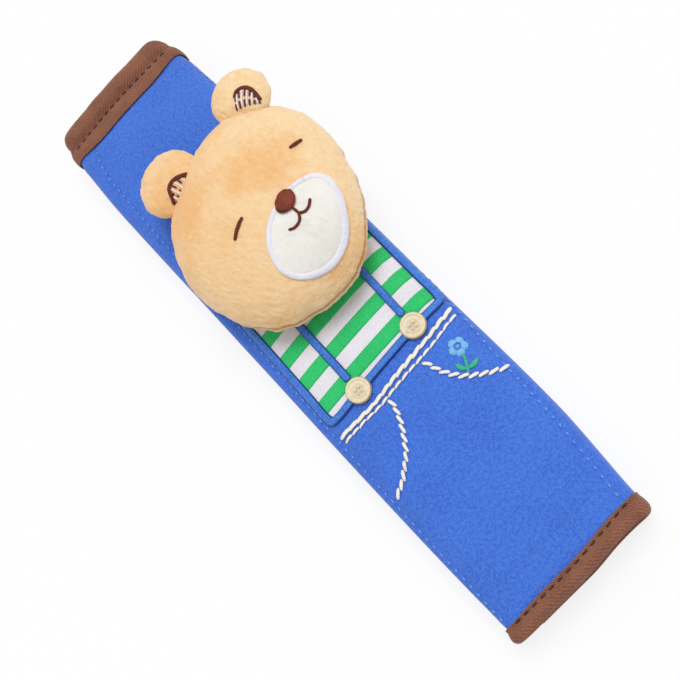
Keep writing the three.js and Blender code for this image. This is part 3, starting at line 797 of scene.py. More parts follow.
def fabrics() -> dict[str, Finish]:
    """Returns every finish of the pad by its slot in the record."""
    return {
        "blue_cloth": Finish(
            "blue_knit", linear(54, 104, 212), linear(42, 88, 194), linear(92, 144, 236), Weave.KNIT,
            on_cloth=True, mottling=45.0, strength=0.6),
        "blue_lining": Finish(
            "blue_lining", linear(52, 96, 188), linear(42, 80, 168), linear(70, 112, 204), Weave.KNIT,
            on_cloth=True, pitch=0.8 * MM),
        "foam": Finish(
            "foam", linear(233, 228, 210), linear(214, 205, 180), linear(244, 240, 226), Weave.KNIT,
            pitch=1.4 * MM, sheen=0.0),
        "navy_closure": Finish(
            "navy_closure", linear(38, 53, 95), linear(24, 35, 68), linear(62, 80, 128), Weave.KNIT,
            pitch=0.9 * MM, strength=0.9),
        "brown_tape": Finish(
            "brown_twill", linear(146, 92, 68), linear(100, 58, 42), linear(184, 132, 108), Weave.TWILL,
            on_cloth=True, pitch=1.15 * MM, mottling=80.0, strength=0.6, sheen=0.1),
        "brown_thread": Finish(
            "brown_thread", linear(62, 30, 22), linear(42, 18, 12), linear(92, 54, 44), Weave.SATIN,
            on_cloth=True, roughness=0.6, sheen=0.0),
        "blue_thread": Finish(
            "light_blue_thread", linear(106, 154, 236), linear(80, 128, 220), linear(136, 180, 246),
            Weave.SATIN,
            on_cloth=True, roughness=0.6),
        "cream_thread": Finish(
            "cream_thread", linear(255, 252, 242), linear(248, 238, 218), linear(255, 255, 252), Weave.SATIN,
            on_cloth=True, pitch=0.7 * MM, roughness=0.6),
        # The button's tan edge colour is painted shade on the rim where it turns down
        "cream_button": Finish(
            "cream_button_thread", linear(252, 240, 212), linear(222, 198, 156), linear(255, 250, 234),
            Weave.SATIN,
            on_cloth=True, pitch=0.6 * MM, roughness=0.6, edge=linear(206, 174, 124), edge_shade_from=4.85 * MM,
            edge_shade_soft=0.05),
        "white_cloth": Finish(
            "white_cotton", linear(232, 229, 238), linear(214, 210, 224), linear(246, 244, 250), Weave.KNIT,
            on_cloth=True, pitch=0.8 * MM),
        "green_cloth": Finish(
            "green_cotton", linear(36, 196, 106), linear(24, 170, 88), linear(70, 214, 130), Weave.KNIT,
            on_cloth=True, pitch=0.8 * MM),
        # The satin's navy edge colour is painted shade along the rounded sides of the border and the straps
        "blue_satin": Finish(
            "blue_satin", linear(50, 124, 224), linear(26, 86, 190), linear(110, 176, 248), Weave.SATIN,
            on_cloth=True, pitch=0.8 * MM, roughness=0.42, edge=linear(18, 52, 126), edge_shade_from=1.4 * MM),
        "sky_thread": Finish(
            "sky_thread", linear(126, 196, 242), linear(90, 164, 226), linear(170, 218, 250), Weave.SATIN,
            on_cloth=True, roughness=0.55),
        "leaf_thread": Finish(
            "leaf_thread", linear(56, 186, 140), linear(34, 150, 110), linear(96, 210, 168), Weave.SATIN,
            on_cloth=True, roughness=0.55),
        # The plush's 0.22 darkening towards −x is painted shade of the pile's lie
        "peach_plush": Finish(
            "peach_plush", linear(250, 212, 158), linear(244, 180, 106), linear(255, 230, 188), Weave.NAP,
            roughness=0.95, sheen=0.4, relief=0.6 * MM, strength=0.85, mottling=30.0, side_shade=0.22,
            seam=linear(206, 140, 74)),
        "stuffing": Finish(
            "stuffing", linear(244, 241, 234), linear(226, 222, 212), linear(252, 250, 246), Weave.NAP,
            relief=0.5 * MM),
        "muzzle_cloth": Finish(
            "white_fleece", linear(240, 237, 228), linear(228, 224, 214), linear(250, 248, 244), Weave.NAP,
            relief=0.35 * MM, sheen=0.3, mottling=30.0),
        "white_satin": Finish(
            "white_satin", linear(250, 248, 255), linear(230, 226, 246), linear(255, 255, 255), Weave.SATIN,
            on_cloth=True, pitch=0.5 * MM, roughness=0.55),
        # The nose's dark edge colour is painted shade on the sides of its dome
        "nose_satin": Finish(
            "brown_satin", linear(124, 40, 12), linear(98, 28, 8), linear(152, 66, 30), Weave.SATIN,
            on_cloth=True, roughness=0.5, sheen=0.0, strength=0.3, edge=linear(80, 22, 6),
            edge_shade_from=4.3 * MM),
        "face_thread": Finish(
            "dark_brown_thread", linear(100, 30, 8), linear(74, 20, 4), linear(132, 58, 24), Weave.SATIN,
            on_cloth=True, roughness=0.6, sheen=0.0),
    }


class Wardrobe:
    """Holds the built materials and dresses pieces with them."""

    def __init__(self) -> None:
        """Builds every material."""
        effects = Effects()
        self.materials = {slot: finish.build(effects) for slot, finish in fabrics().items()}

    def dress(self, piece: bpy.types.Object, slot: str, nodes: Sequence[str] = (), look: str = "") -> None:
        """Gives a piece its finish, its body and the CAD nodes that it stands for.

        Args:
            piece: the piece.
            slot: the record's material slot.
            nodes: the CAD nodes that it replaces.
            look: the finish, where it isn't the slot's own.
        """
        piece.data.materials.clear()
        piece.data.materials.append(self.materials[look or slot])
        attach(piece, ROOT)
        if nodes:
            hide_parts(*nodes)
        log.info("%s: %d faces, in %s", piece.name, len(piece.data.polygons), slot)

    def keep(self, node: str, slot: str) -> None:
        """Gives a CAD node that stays its finish."""
        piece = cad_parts[node]
        if not piece.material_slots:
            piece.data.materials.append(None)
        for place in piece.material_slots:
            place.material = self.materials[slot]
        log.info("%s: kept, in %s", node, slot)


# Sleeve


class Line(Enum):
    """Which of the sleeve's two faces a section point lies on."""

    COVER = "cover"
    LINING = "lining"


@dataclass(frozen=True)
class Sleeve:
    """The padded sleeve's own shape: a C-shaped section run along the belt."""

    length: float = 285 * MM
    end_half: float = 32.5 * MM
    middle_half: float = 35 * MM
    bow: float = 1.8 * MM
    crown: float = 1.9 * MM
    fold_reach: float = 7 * MM
    cloth: float = 1 * MM
    lining: float = 0.7 * MM
    foam: float = 4 * MM
    squeezed_foam: float = 2 * MM
    tape: float = 0.6 * MM
    strip: float = 0.9 * MM
    belt_space: float = 5.6 * MM
    gap: float = 0.3 * MM
    back_edge: float = -24 * MM
    flap_edge: float = -2 * MM
    head_binding: float = 17.4 * MM
    tail_binding: float = 7.4 * MM
    squeezed_stretch: float = 18.5 * MM
    squeeze_length: float = 29 * MM
    closure_lift: float = 0.4 * MM
    lining_lift: float = 0.9 * MM
    head_trims: Point = (1.3 * MM, -0.8 * MM)
    tail_trims: Point = (0.2 * MM, 1.3 * MM)
    trim_reach: Point = (50 * MM, 10 * MM)
    corner_trims: Point = (0.6 * MM, 0.0 * MM)
    corner_reach: float = 5 * MM
    roll_trim: float = 2.2 * MM
    roll_reach: Point = (9.5 * MM, 6 * MM)
    tail_skew: float = 2.4 * MM
    section_lengths: tuple[int, ...] = (26, 16, 56, 22, 52)

    @property
    def half(self) -> float:
        """Half the sleeve's length."""
        return self.length / 2

    @property
    def tape_build(self) -> float:
        """How far the tape's face stands off the cloth that it covers."""
        return self.tape + self.gap

    @property
    def fold_centre(self) -> float:
        """Distance of the side folds' middles from the sleeve's middle."""
        return self.middle_half - self.fold_reach

    @property
    def back_top(self) -> float:
        """Height of the lining's face on the back panel."""
        return self.cloth + self.gap + self.lining

    @property
    def flap_bottom(self) -> float:
        """Height of the inner flap's outer face."""
        return self.back_top + 2 * self.strip + 3 * self.gap

    @property
    def lining_bottom(self) -> float:
        """Height of the lining below the foam."""
        return self.flap_bottom + self.back_top + self.belt_space

    @property
    def lining_top(self) -> float:
        """Height of the lining's face next to the foam."""
        return self.lining_bottom + self.lining

    @property
    def front_top(self) -> float:
        """Height of the front's crown."""
        return self.lining_top + self.gap + self.foam + self.gap + self.cloth

    @property
    def side_top(self) -> float:
        """Height of the front where the side folds begin."""
        return self.front_top - self.crown

    def half_width(self, y: float) -> float:
        """Returns half the sleeve's width at a place along it."""
        return self.end_half + (self.middle_half - self.end_half) * (1 - abs(y / self.half) ** 3)

    def squeezed(self, z: float, y: float) -> float:
        """Returns a layer's height where the bound ends squeeze the sleeve."""
        end = self.half - self.squeezed_stretch
        share = ease(abs(y), end - self.squeeze_length, end)
        foam_bottom = self.lining_top + self.gap
        levels = [
            (0.0, self.tape_build),
            (self.flap_bottom, self.closure_lift),
            (self.flap_bottom + self.back_top, self.closure_lift),
            (self.lining_bottom, self.lining_lift),
            (foam_bottom, self.lining_lift),
            (foam_bottom + self.foam, self.lining_lift - self.foam + self.squeezed_foam),
        ]
        if z <= levels[0][0]:
            return z + share * levels[0][1]
        for (low, low_lift), (high, high_lift) in zip(levels, levels[1:]):
            if z < high:
                return z + share * mix(low_lift, high_lift, (z - low) / (high - low))
        return z + share * levels[-1][1]

    def settle(self, x: float, y: float, z: float) -> Vector:
        """Takes a point of the flat design to its place on the finished sleeve.

        The sewn ends are a little narrower than the cut cloth, and the tail end isn't quite square.
        """
        bow = self.bow * (1 - (y / self.half) ** 2)
        left, right = self.head_trims if y > 0 else self.tail_trims
        side = mix(left, right, ease(x, -self.middle_half, self.middle_half))
        trim_from, trim_to = self.trim_reach
        roll_from, roll_to = self.roll_reach
        trim = side * ease(abs(y), self.half - trim_from, self.half - trim_to)
        trim += self.corner_trims[y < 0] * ease(abs(y), self.half - self.corner_reach, self.half)
        trim += self.roll_trim * ease(y, self.half - roll_from, self.half - roll_to)
        narrow = (self.half_width(y) - trim) / self.middle_half
        across = ease(x, 0, 0.9 * self.middle_half)
        along = ease(-y, 0.6 * self.half, 0.95 * self.half)
        skew = self.tail_skew * across * along
        return Vector((x * narrow + bow, y + skew, self.squeezed(z, y)))

    def plan(self, x: float, y: float) -> Vector:
        """Takes a plan point of the flat design to its plan place on the finished sleeve."""
        return self.settle(x, y, 0).to_2d()

    def section(self, place: float, depth: float, line: Line = Line.COVER, overhang: float = 0.0) -> Vector:
        """Finds a point of the C-shaped section.

        Args:
            place: from 0 to 5: the flap, the left fold, the front, the right fold and the back panel.
            depth: the distance in from the cover's outer face.
            line: whether the front follows the cover or the lining.
            overhang: how far the two free edges reach on.

        Returns:
            The point's x and z in the flat design.
        """
        stretch = min(int(place), 4)
        part = place - stretch
        left = (self.side_top + self.flap_bottom) / 2, (self.side_top - self.flap_bottom) / 2 - depth
        right = self.side_top / 2, self.side_top / 2 - depth
        reach = self.fold_reach - depth
        leave, enter = math.pi, 0.0
        if line is Line.LINING:
            level = self.lining_top - (depth - self.cloth - self.gap)
            leave = math.acos((left[0] - level) / left[1])
            enter = math.acos((level - right[0]) / right[1])
        if stretch == 0:
            x = mix(self.flap_edge + overhang, -self.fold_centre, part)
            return Vector((x, self.flap_bottom + depth))
        if stretch == 1:
            turn = leave * part
            return Vector((-self.fold_centre - reach * math.sin(turn), left[0] - left[1] * math.cos(turn)))
        if stretch == 3:
            turn = mix(enter, math.pi, part)
            return Vector((self.fold_centre + reach * math.sin(turn), right[0] + right[1] * math.cos(turn)))
        if stretch == 4:
            return Vector((mix(self.fold_centre, self.back_edge - overhang, part), depth))
        if line is Line.LINING:
            start = -self.fold_centre - reach * math.sin(leave)
            end = self.fold_centre + reach * math.sin(enter)
            return Vector((mix(start, end, part), level))
        x = mix(-self.fold_centre, self.fold_centre, part)
        return Vector((x, self.front_top - self.crown * (x / self.fold_centre) ** 2 - depth))

    def places(self, fine: float, coarse: float) -> list[float]:
        """Returns the section's places for two steps in millimetres: the front's, and the back's."""
        steps = (coarse, fine, fine, fine, coarse)
        made = [0.0]
        for stretch, (length, step) in enumerate(zip(self.section_lengths, steps)):
            made += even(stretch, stretch + 1, step / length)[1:]
        return made


@dataclass
class SewnLines:
    """The rows of stitches that pull the cover down, each with its depth and width."""

    samples: list = field(default_factory=list)
    count: int = 400

    def add(self, path: Path, depth: float, width: float, pitch: float = 0.0) -> None:
        """Adds a row.

        Args:
            path: the row, on the finished sleeve.
            depth: how deep the cloth is pulled.
            width: how far to its sides.
            pitch: the distance between dimples, or 0 for an even groove.
        """
        for index in range(self.count + 1):
            share = index / self.count
            spot, _ = path.at(share)
            wave = 0.7 + 0.3 * math.cos(2 * math.pi * share * path.length / pitch) if pitch else 1.0
            self.samples.append((spot, depth * wave, width))

    def pull(self) -> Depth:
        """Returns a function that gives how deep the cloth lies at a point of the front."""
        tree = KDTree(len(self.samples))
        for index, (spot, _, _) in enumerate(self.samples):
            tree.insert(spot.to_3d(), index)
        tree.balance()

        def depth_at(place: Vector) -> float:
            """Returns the depth of the nearest row's dent at a place."""
            _, index, distance = tree.find(Vector((place.x, place.y, 0)))
            _, depth, width = self.samples[index]
            return depth * bell(distance, width)

        return depth_at


def plan_path(sleeve: Sleeve, points: Sequence[Point]) -> Path:
    """Takes a path of the flat design, in millimetres, to its place on the finished sleeve."""
    made = [sleeve.plan(x * MM, y * MM) / MM for x, y in points]
    return Path([(spot.x, spot.y) for spot in made])


@dataclass(frozen=True)
class Tape:
    """The sizes of the folded tape over one end: a flat strip, a sewn groove and a rolled nose."""

    width: float
    groove: float
    nose: float
    rise: float
    side_pull: float
    rows: int
    corner_reach: float = 0.0
    middle_short: float = 0.0
    dip: float = 0.5 * MM
    lip: float = 0.35 * MM
    hug: float = 0.35 * MM
    hug_reach: float = 2.5 * MM
    wrinkle: float = 0.5 * MM
    fine_wrinkle: float = 0.2 * MM

    def rings(self) -> list[float]:
        """Returns the rows of its mesh: outside up to 1, round the nose up to 2, and its inner edge at 3."""
        return even(0, 1, 1 / self.rows) + even(1, 2, 1 / 16)[1:] + [3]


@dataclass
class Cover:
    """The blue cover with its lining, closure, bindings and stitch rows."""

    sleeve: Sleeve
    wardrobe: Wardrobe
    swell: float = 0.5 * MM
    pressure: float = 1.5
    crease: float = 0.35 * MM
    gather: float = 0.4 * MM
    gather_reach: float = 26 * MM
    under_tape: float = 0.35 * MM
    foam_gap: float = 1.5 * MM
    foam_slack: float = 0.4 * MM
    side_dip: float = 0.6 * MM
    side_dip_reach: float = 1.5 * MM
    side_pitch: float = 3.7 * MM
    end_pitch: float = 4.0 * MM

    @property
    def head_tape(self) -> Tape:
        """The head end's wide tape, with its puffed roll."""
        return Tape(
            width=self.sleeve.head_binding, groove=7.1 * MM, nose=5.0 * MM, rise=2.6 * MM,
            side_pull=2.2 * MM,
            rows=44,
        )

    @property
    def tail_tape(self) -> Tape:
        """The tail end's narrow tape."""
        return Tape(
            width=self.sleeve.tail_binding, groove=1.3 * MM, nose=3.0 * MM, rise=1.2 * MM,
            side_pull=0.6 * MM,
            rows=22, corner_reach=1.5 * MM, middle_short=0.4 * MM,
        )

    def rows(self) -> dict[str, Path]:
        """Returns the two rows of stitches along the sides, from their distances to the edges."""
        edge = self.sleeve.middle_half / MM
        head = (self.sleeve.half - self.sleeve.head_binding) / MM - 1
        tail = (self.sleeve.tail_binding - self.sleeve.half) / MM + 1
        left = [(11.5, head), (7.5, 101), (4.8, 3.6), (3.1, -65.4), (2, tail)]
        right = [
            (5.7, tail), (4.3, -98.4), (3.1, -64.4), (0.8, -33.4), (0.4, 2.6), (0.5, 62.6), (1, head),
        ]
        return {
            "left": plan_path(self.sleeve, [(inset - edge, y) for inset, y in left]),
            "right": plan_path(self.sleeve, [(edge - inset, y) for inset, y in right]),
        }

    def add_dents(self, sewn: SewnLines) -> None:
        """Adds the side rows, which pull the cover in."""
        for path in self.rows().values():
            sewn.add(path, self.side_dip, self.side_dip_reach, self.side_pitch)

    def build_cloth(self, sewn: SewnLines) -> bpy.types.Object:
        """Builds the blue cover, swells its front and pulls its stitch rows in.

        Args:
            sewn: the rows that dent the front.

        Returns:
            The cover.
        """
        sleeve = self.sleeve
        end = sleeve.half - sleeve.tape_build
        columns = sleeve.places(fine=1.05, coarse=3.2)
        rows = even(-end, end, 1.15 * MM)

        def place(column: float, row: float) -> Vector:
            """Returns a grid point's place on the cover."""
            spot = sleeve.section(column, 0)
            return sleeve.settle(spot.x, row, spot.y)

        def held(spot: Vector) -> float:
            """Pins the back, the folds and the ends."""
            firm = 1 - ease(spot.z, sleeve.side_top * 0.82, sleeve.side_top)
            return max(firm, ease(abs(spot.y), sleeve.half - 22 * MM, sleeve.half - 17 * MM))

        reach = self._reaches(columns)
        cover = grid_piece("sleeve_cover", columns, rows, place, lambda column, row: (reach[column], row))
        face_up(cover)
        puff(cover, self.swell, self.pressure, held)
        self._dent(cover, sewn.pull())
        thicken(cover, sleeve.cloth)
        self.wardrobe.dress(cover, "blue_cloth", ["outer_cover"])
        return cover

    def _reaches(self, columns: Sequence[float]) -> dict[float, float]:
        """Returns each section place's distance along the cloth."""
        reach = {columns[0]: 0.0}
        for before, after in zip(columns, columns[1:]):
            step = self.sleeve.section(after, 0) - self.sleeve.section(before, 0)
            reach[after] = reach[before] + step.length
        return reach

    def _dent(self, cover: bpy.types.Object, depth_at: Depth) -> None:
        """Pulls the stitch rows in and lays soft creases over the cover, which rests on z = 0."""
        half = self.sleeve.half

        def moved(place: Vector, normal: Vector) -> Vector:
            """Returns where a point of the cover comes to lie."""
            drop = depth_at(place) if normal.z > 0.1 else 0.0
            edge = self.sleeve.head_binding if place.y > 0 else self.sleeve.tail_binding
            covered = ease(abs(place.y), half - edge - 2 * MM, half - edge + 1 * MM)
            pull = ease(abs(place.y), half - edge - self.gather_reach, half - edge)
            crease = noise.noise(Vector((place.x * 40, place.y * 22, place.z * 40)))
            gather = noise.noise(Vector((place.x * 190, place.y * 26, 1.7))) * pull
            loose = (crease * self.crease + gather * self.gather - drop) * (1 - covered)
            spot = place + normal * (loose - self.under_tape * covered)
            spot.z = max(spot.z, 0.0)
            return spot

        reshape(cover, moved)

    def build_foam(self) -> None:
        """Builds the foam between the front and the lining."""
        sleeve = self.sleeve
        half = sleeve.fold_centre
        end = sleeve.half - sleeve.tape_build - self.foam_gap
        bottom = sleeve.lining_top + sleeve.gap
        shape = bmesh.new()
        bmesh.ops.create_cube(shape, size=1.0)
        bmesh.ops.subdivide_edges(shape, edges=shape.edges, cuts=23, use_grid_fill=True)
        for vertex in shape.verts:
            x = vertex.co.x * 2 * half
            top = bottom + sleeve.foam - sleeve.crown * (x / half) ** 2 - self.foam_slack
            vertex.co = sleeve.settle(x, vertex.co.y * 2 * end, mix(bottom, top, vertex.co.z + 0.5))
        foam = to_object("foam_slab", shape)
        self.wardrobe.dress(foam, "foam", ["foam_pad"])

    def build_lining(self) -> None:
        """Builds the lining of the belt channel."""
        sleeve = self.sleeve
        end = sleeve.half - sleeve.tape_build
        depth = sleeve.cloth + sleeve.gap

        def place(column: float, row: float) -> Vector:
            """Returns a grid point's place on the lining."""
            spot = sleeve.section(column, depth, Line.LINING)
            return sleeve.settle(spot.x, row, spot.y)

        columns = sleeve.places(fine=3.0, coarse=4.0)
        reach = self._reaches(columns)
        rows = even(-end, end, 4 * MM)
        lining = grid_piece("channel_lining", columns, rows, place, lambda column, row: (reach[column], row))
        face_up(lining)
        thicken(lining, sleeve.lining)
        self.wardrobe.dress(lining, "blue_lining", ["lining"])
        spots = [sleeve.section(column, depth, Line.LINING) for column in columns]
        width = sum((after - before).length for before, after in zip(spots, spots[1:]))

    def build_binding(self, head: bool) -> bpy.types.Object:
        """Builds the folded tape over one end: a flat strip, a groove and a puffed roll.

        Args:
            head: whether it is the head end's wide binding or the tail's narrow one.

        Returns:
            The binding.
        """
        sleeve = self.sleeve
        tape = self.head_tape if head else self.tail_tape
        sign = 1 if head else -1
        columns = sleeve.places(fine=0.9, coarse=2.2)
        reach = self._reaches(columns)
        inner_depth = sleeve.cloth + sleeve.gap + sleeve.lining + sleeve.tape_build

        def swelling(column: float, along: float, out: float) -> float:
            """Returns how far the tape stands out: its groove, its roll and its wrinkles."""
            past = ease(along, tape.groove - 0.5 * MM, tape.groove + 3 * MM)
            dip = -tape.dip * bell(along - tape.groove, 1.0 * MM)
            lip = tape.lip * bell(along - 0.4 * tape.groove, 0.5 * tape.groove)
            turned = clamp((out - tape.groove) / (tape.width - tape.groove) * 1.25)
            arch = math.sin(turned * math.pi / 2) ** 0.7
            twist = (reach[column] - 0.7 * along) * 130
            wrinkle = noise.noise(Vector((twist, along * 30, 9.0 * sign))) * tape.wrinkle
            fine = noise.noise(Vector((twist * 2.6, along * 70, 4.0 * sign))) * tape.fine_wrinkle
            return tape.rise * past * arch + dip + lip + (wrinkle + fine) * past

        def place(column: float, row: float) -> Vector:
            """Returns a grid point's place: outside up to 1, round the nose up to 2, then inside."""
            along = min(row, 1) * (tape.width - tape.nose)
            hug = tape.hug * (1 - ease(along, 0, tape.hug_reach))
            outer = sleeve.section(column, hug - sleeve.tape_build, Line.COVER, sleeve.tape_build)
            inside = sleeve.section(column, inner_depth, Line.LINING, sleeve.tape_build)
            front = ease(outer.y, sleeve.side_top * 0.45, sleeve.side_top)
            turn = clamp(row - 1) * math.pi
            out = along + tape.nose * math.sin(turn) if row <= 2 else 0.0
            share = 0.0 if row <= 1 else (1 - math.cos(turn)) / 2 if row <= 2 else 1.0
            lift = swelling(column, along, out) * (1 - share) * mix(0.3, 1.0, front)
            near, far = (0.4, 0.95) if outer.y > 0.5 * sleeve.side_top else (0.2, 0.6)
            pulled = tape.side_pull * ease(abs(outer.x) / sleeve.middle_half, near, far)
            corner = ease(outer.x, 0.3 * sleeve.middle_half, sleeve.middle_half)
            squared = tape.corner_reach * corner - tape.middle_short
            ratio = out / tape.width
            y = sign * (sleeve.half - tape.width + out + pulled * (1 - ratio) + squared * ratio)
            spot = outer.lerp(inside, share)
            placed = sleeve.settle(spot.x, y, spot.y)
            side = Vector((math.copysign(1.0, placed.x), 0, 0))
            return placed + (side * (1 - front) + UP * front) * lift

        name = "head_end_roll" if head else "tail_end_tape"
        chart = lambda column, row: (reach[column], row * tape.width)
        binding = grid_piece(name, columns, tape.rings(), place, chart)
        face_up(binding)
        thicken(binding, sleeve.tape)
        node = "head_end_binding" if head else "tail_end_binding"
        self.wardrobe.dress(binding, "brown_tape", [node])
        return binding

    def build_rows(self, ground: Ground) -> None:
        """Sews the single stitches of the side rows and of both bindings."""
        dot = Stitch(self.side_pitch, Vector((1.5, 0.75, 0.5)) * MM, rest=0.05 * MM)
        dash = Stitch(self.end_pitch, Vector((2.4, 0.7, 0.5)) * MM, rest=-0.05 * MM)
        for side, path in self.rows().items():
            row = stitch_piece(f"{side}_side_stitches", path, dot, ground.lift)
            self.wardrobe.dress(row, "blue_thread", [f"{side}_side_stitch"])
        sleeve = self.sleeve
        edge = (sleeve.middle_half - 4 * MM) / MM
        for end, tape, sign in (("head", self.head_tape, 1), ("tail", self.tail_tape, -1)):
            y = sign * (sleeve.half - tape.width + tape.groove) / MM
            path = plan_path(sleeve, [(-edge, y), (0, y), (edge, y)])
            row = stitch_piece(f"{end}_end_stitches", path, dash, ground.lift)
            self.wardrobe.dress(row, "brown_thread", [f"{end}_end_stitch"])

    def keep_hidden(self) -> None:
        """Dresses the closure strips, which stay as the CAD has them."""
        self.wardrobe.keep("hook_strip", "navy_closure")
        self.wardrobe.keep("loop_strip", "navy_closure")


# Dungarees


@dataclass
class Dungarees:
    """The shirt, its satin border, the suspenders, the buttons and the trouser stitches."""

    sleeve: Sleeve
    wardrobe: Wardrobe
    shirt_top: float = 14.6
    stripe_width: float = 5.9
    stripe_pitch: float = 11.9
    first_stripe: float = 2.9
    stripe_slope: float = 0.038
    shirt_lift: float = 0.6 * MM
    shirt_cloth: float = 0.35 * MM
    stripe_lift: float = 0.68 * MM
    stripe_cloth: float = 0.2 * MM
    button_radius: float = 5.1 * MM
    button_lift: float = 0.7 * MM
    button_level: float = 0.7
    knot_radius: float = 0.75 * MM
    knot_height: float = 0.95 * MM
    flower_radius: float = 3.7 * MM
    seam_dip: float = 0.8 * MM
    seam_dip_reach: float = 1.5 * MM
    seam_pitch: float = 3.9 * MM
    border_dip: float = 0.35 * MM
    border_dip_reach: float = 2.6 * MM

    @property
    def corners(self) -> dict[str, Point]:
        """The shirt's corners in the flat design, in millimetres."""
        edge = self.sleeve.middle_half / MM
        return {
            "top_left": (7.9 - edge, self.shirt_top),
            "bottom_left": (6.5 - edge, -40.8),
            "bottom_right": (edge - 2.9, -37.0),
            "top_right": (edge - 1.8, self.shirt_top),
        }

    def border_path(self) -> Path:
        """Returns the path of the satin border: down the left, along the foot and up the right."""
        corners = self.corners
        left, low_left = Vector(corners["top_left"]), Vector(corners["bottom_left"])
        low_right, right = Vector(corners["bottom_right"]), Vector(corners["top_right"])
        points = [left.lerp(low_left, share) for share in (0, 0.25, 0.5, 0.75, 0.95)]
        points += [low_left.lerp(low_right, share) for share in (0.04, 0.25, 0.5, 0.75, 0.96)]
        points += [low_right.lerp(right, share) for share in (0.05, 0.25, 0.5, 0.75, 1)]
        return plan_path(self.sleeve, [(point.x, point.y) for point in points])

    def trouser_rows(self) -> dict[str, Path]:
        """Returns the waistband's two rows and the two pocket curves."""
        low = 5 - self.sleeve.middle_half / MM
        high = self.sleeve.middle_half / MM - 2.8
        rows = {
            "waistband_upper": [
                (low, -46.6), (-19, -47.2), (-11, -47.3), (0, -46), (18.8, -44.4), (high, -41.9),
            ],
            "waistband_lower": [
                (low, -49.1), (-19, -49.3), (-11, -49.6), (0, -48.7), (18.8, -47.4), (high, -44.7),
            ],
            "left_pocket": [
                (-6.7, -50.5), (-7.6, -54.8), (-9.3, -59), (-12.5, -64.3), (-16.2, -69), (-20.2, -72.2),
                (-24.4, -75.1), (low, -77.4),
            ],
            "right_pocket": [
                (11.7, -49.6), (12.7, -53.1), (14, -57), (16, -60.8), (19.1, -64.8), (22.7, -67.7),
                (26.6, -70.2), (high, -72.9),
            ],
        }
        return {name: plan_path(self.sleeve, points) for name, points in rows.items()}

    def add_dents(self, sewn: SewnLines) -> None:
        """Adds the rows that pull the cover in."""
        for path in self.trouser_rows().values():
            sewn.add(path, self.seam_dip, self.seam_dip_reach, self.seam_pitch)
        sewn.add(self.border_path(), self.border_dip, self.border_dip_reach)

    def _foot(self, x: float) -> float:
        """Returns the y of the shirt's foot at an x, both in millimetres."""
        left, right = self.corners["bottom_left"], self.corners["bottom_right"]
        return mix(left[1], right[1], (x - left[0]) / (right[0] - left[0]))

    def _patch(
        self, ground: Ground, name: str, low: Profile, high: Profile, height: float,
    ) -> bpy.types.Object:
        """Lays a patch of the shirt between two edge lines.

        Args:
            ground: the surface below.
            name: the piece's name.
            low: gives the lower edge's y at an x, in millimetres.
            high: gives the upper edge's y at an x.
            height: how far above the ground the patch's face lies.

        Returns:
            The patch.
        """
        corners = self.corners
        left_foot, right_foot = corners["bottom_left"], corners["bottom_right"]

        def place(across: float, up: float) -> Vector:
            """Returns a grid point's place on the shirt."""
            guess = mix(left_foot[0], right_foot[0], across)
            y = mix(low(guess), high(guess), up)
            rise = (y - left_foot[1]) / (self.shirt_top - left_foot[1])
            left = mix(left_foot[0], corners["top_left"][0], rise) + 0.4
            right = mix(right_foot[0], corners["top_right"][0], rise) - 0.2
            x = mix(left, right, across)
            return ground.lift(self.sleeve.plan(x * MM, y * MM), height)

        width = right_foot[0] - left_foot[0]
        tall = high(0) - low(0)
        columns = even(0, 1, 1 / 62)
        rows = even(0, 1, 1 / max(4, round(tall)))
        chart = lambda across, up: (across * width * MM, up * tall * MM)
        return grid_piece(name, columns, rows, place, chart)

    def build_shirt(self, ground: Ground) -> list[bpy.types.Object]:
        """Builds the pale shirt and its green stripes."""
        shirt = self._patch(ground, "shirt_cloth", self._foot, lambda x: self.shirt_top, self.shirt_lift)
        thicken(shirt, self.shirt_cloth)
        self.wardrobe.dress(shirt, "white_cloth", ["shirt_panel"])
        made = [shirt]
        for index in range(4):
            middle = self.first_stripe - self.stripe_pitch * index
            low = lambda x: middle + self.stripe_slope * x - self.stripe_width / 2
            high = lambda x: middle + self.stripe_slope * x + self.stripe_width / 2
            stripe = self._patch(ground, f"green_stripe_{index + 1}", low, high, self.stripe_lift)
            thicken(stripe, self.stripe_cloth)
            self.wardrobe.dress(stripe, "green_cloth", [f"shirt_stripe_{index + 1}"])
            made.append(stripe)
        tall = (self.shirt_top - self._foot(0)) * MM
        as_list(made[1:])
        return made

    def build_satin(self, cloth: Ground, shirt: Ground) -> None:
        """Sews the satin border and the two suspenders."""
        band = Thread(across=3.3 * MM, tall=1.7 * MM, rest=-0.1 * MM, round_ends=0.2)
        border = bead_piece("shirt_satin_border", self.border_path(), band, cloth.lift)
        self.wardrobe.dress(border, "blue_satin", ["shirt_border"])
        straps = {"left": ((-11.8, 2.6), (-12.6, -34.4), 3.4), "right": ((20, 2.6), (18.5, -32.1), 3.1)}
        for side, (top, foot, width) in straps.items():
            path = plan_path(self.sleeve, [top, ((top[0] + foot[0]) / 2, (top[1] + foot[1]) / 2), foot])
            strap = Thread(across=width * MM, tall=1.2 * MM, rest=-0.1 * MM, round_ends=0.1)
            piece = bead_piece(f"{side}_strap", path, strap, shirt.lift)
            self.wardrobe.dress(piece, "blue_satin", [f"{side}_suspender"])

    def build_buttons(self, ground: Ground) -> None:
        """Sews the two embroidered buttons, each with a rim, a ring and four knots."""
        for side, centre in {"left": (-12.6, -39.8), "right": (18.5, -37.5)}.items():
            middle = self.sleeve.plan(centre[0] * MM, centre[1] * MM)
            piece = self._button(f"{side}_embroidered_button", middle, ground)
            self.wardrobe.dress(piece, "cream_thread", [f"{side}_button"], "cream_button")

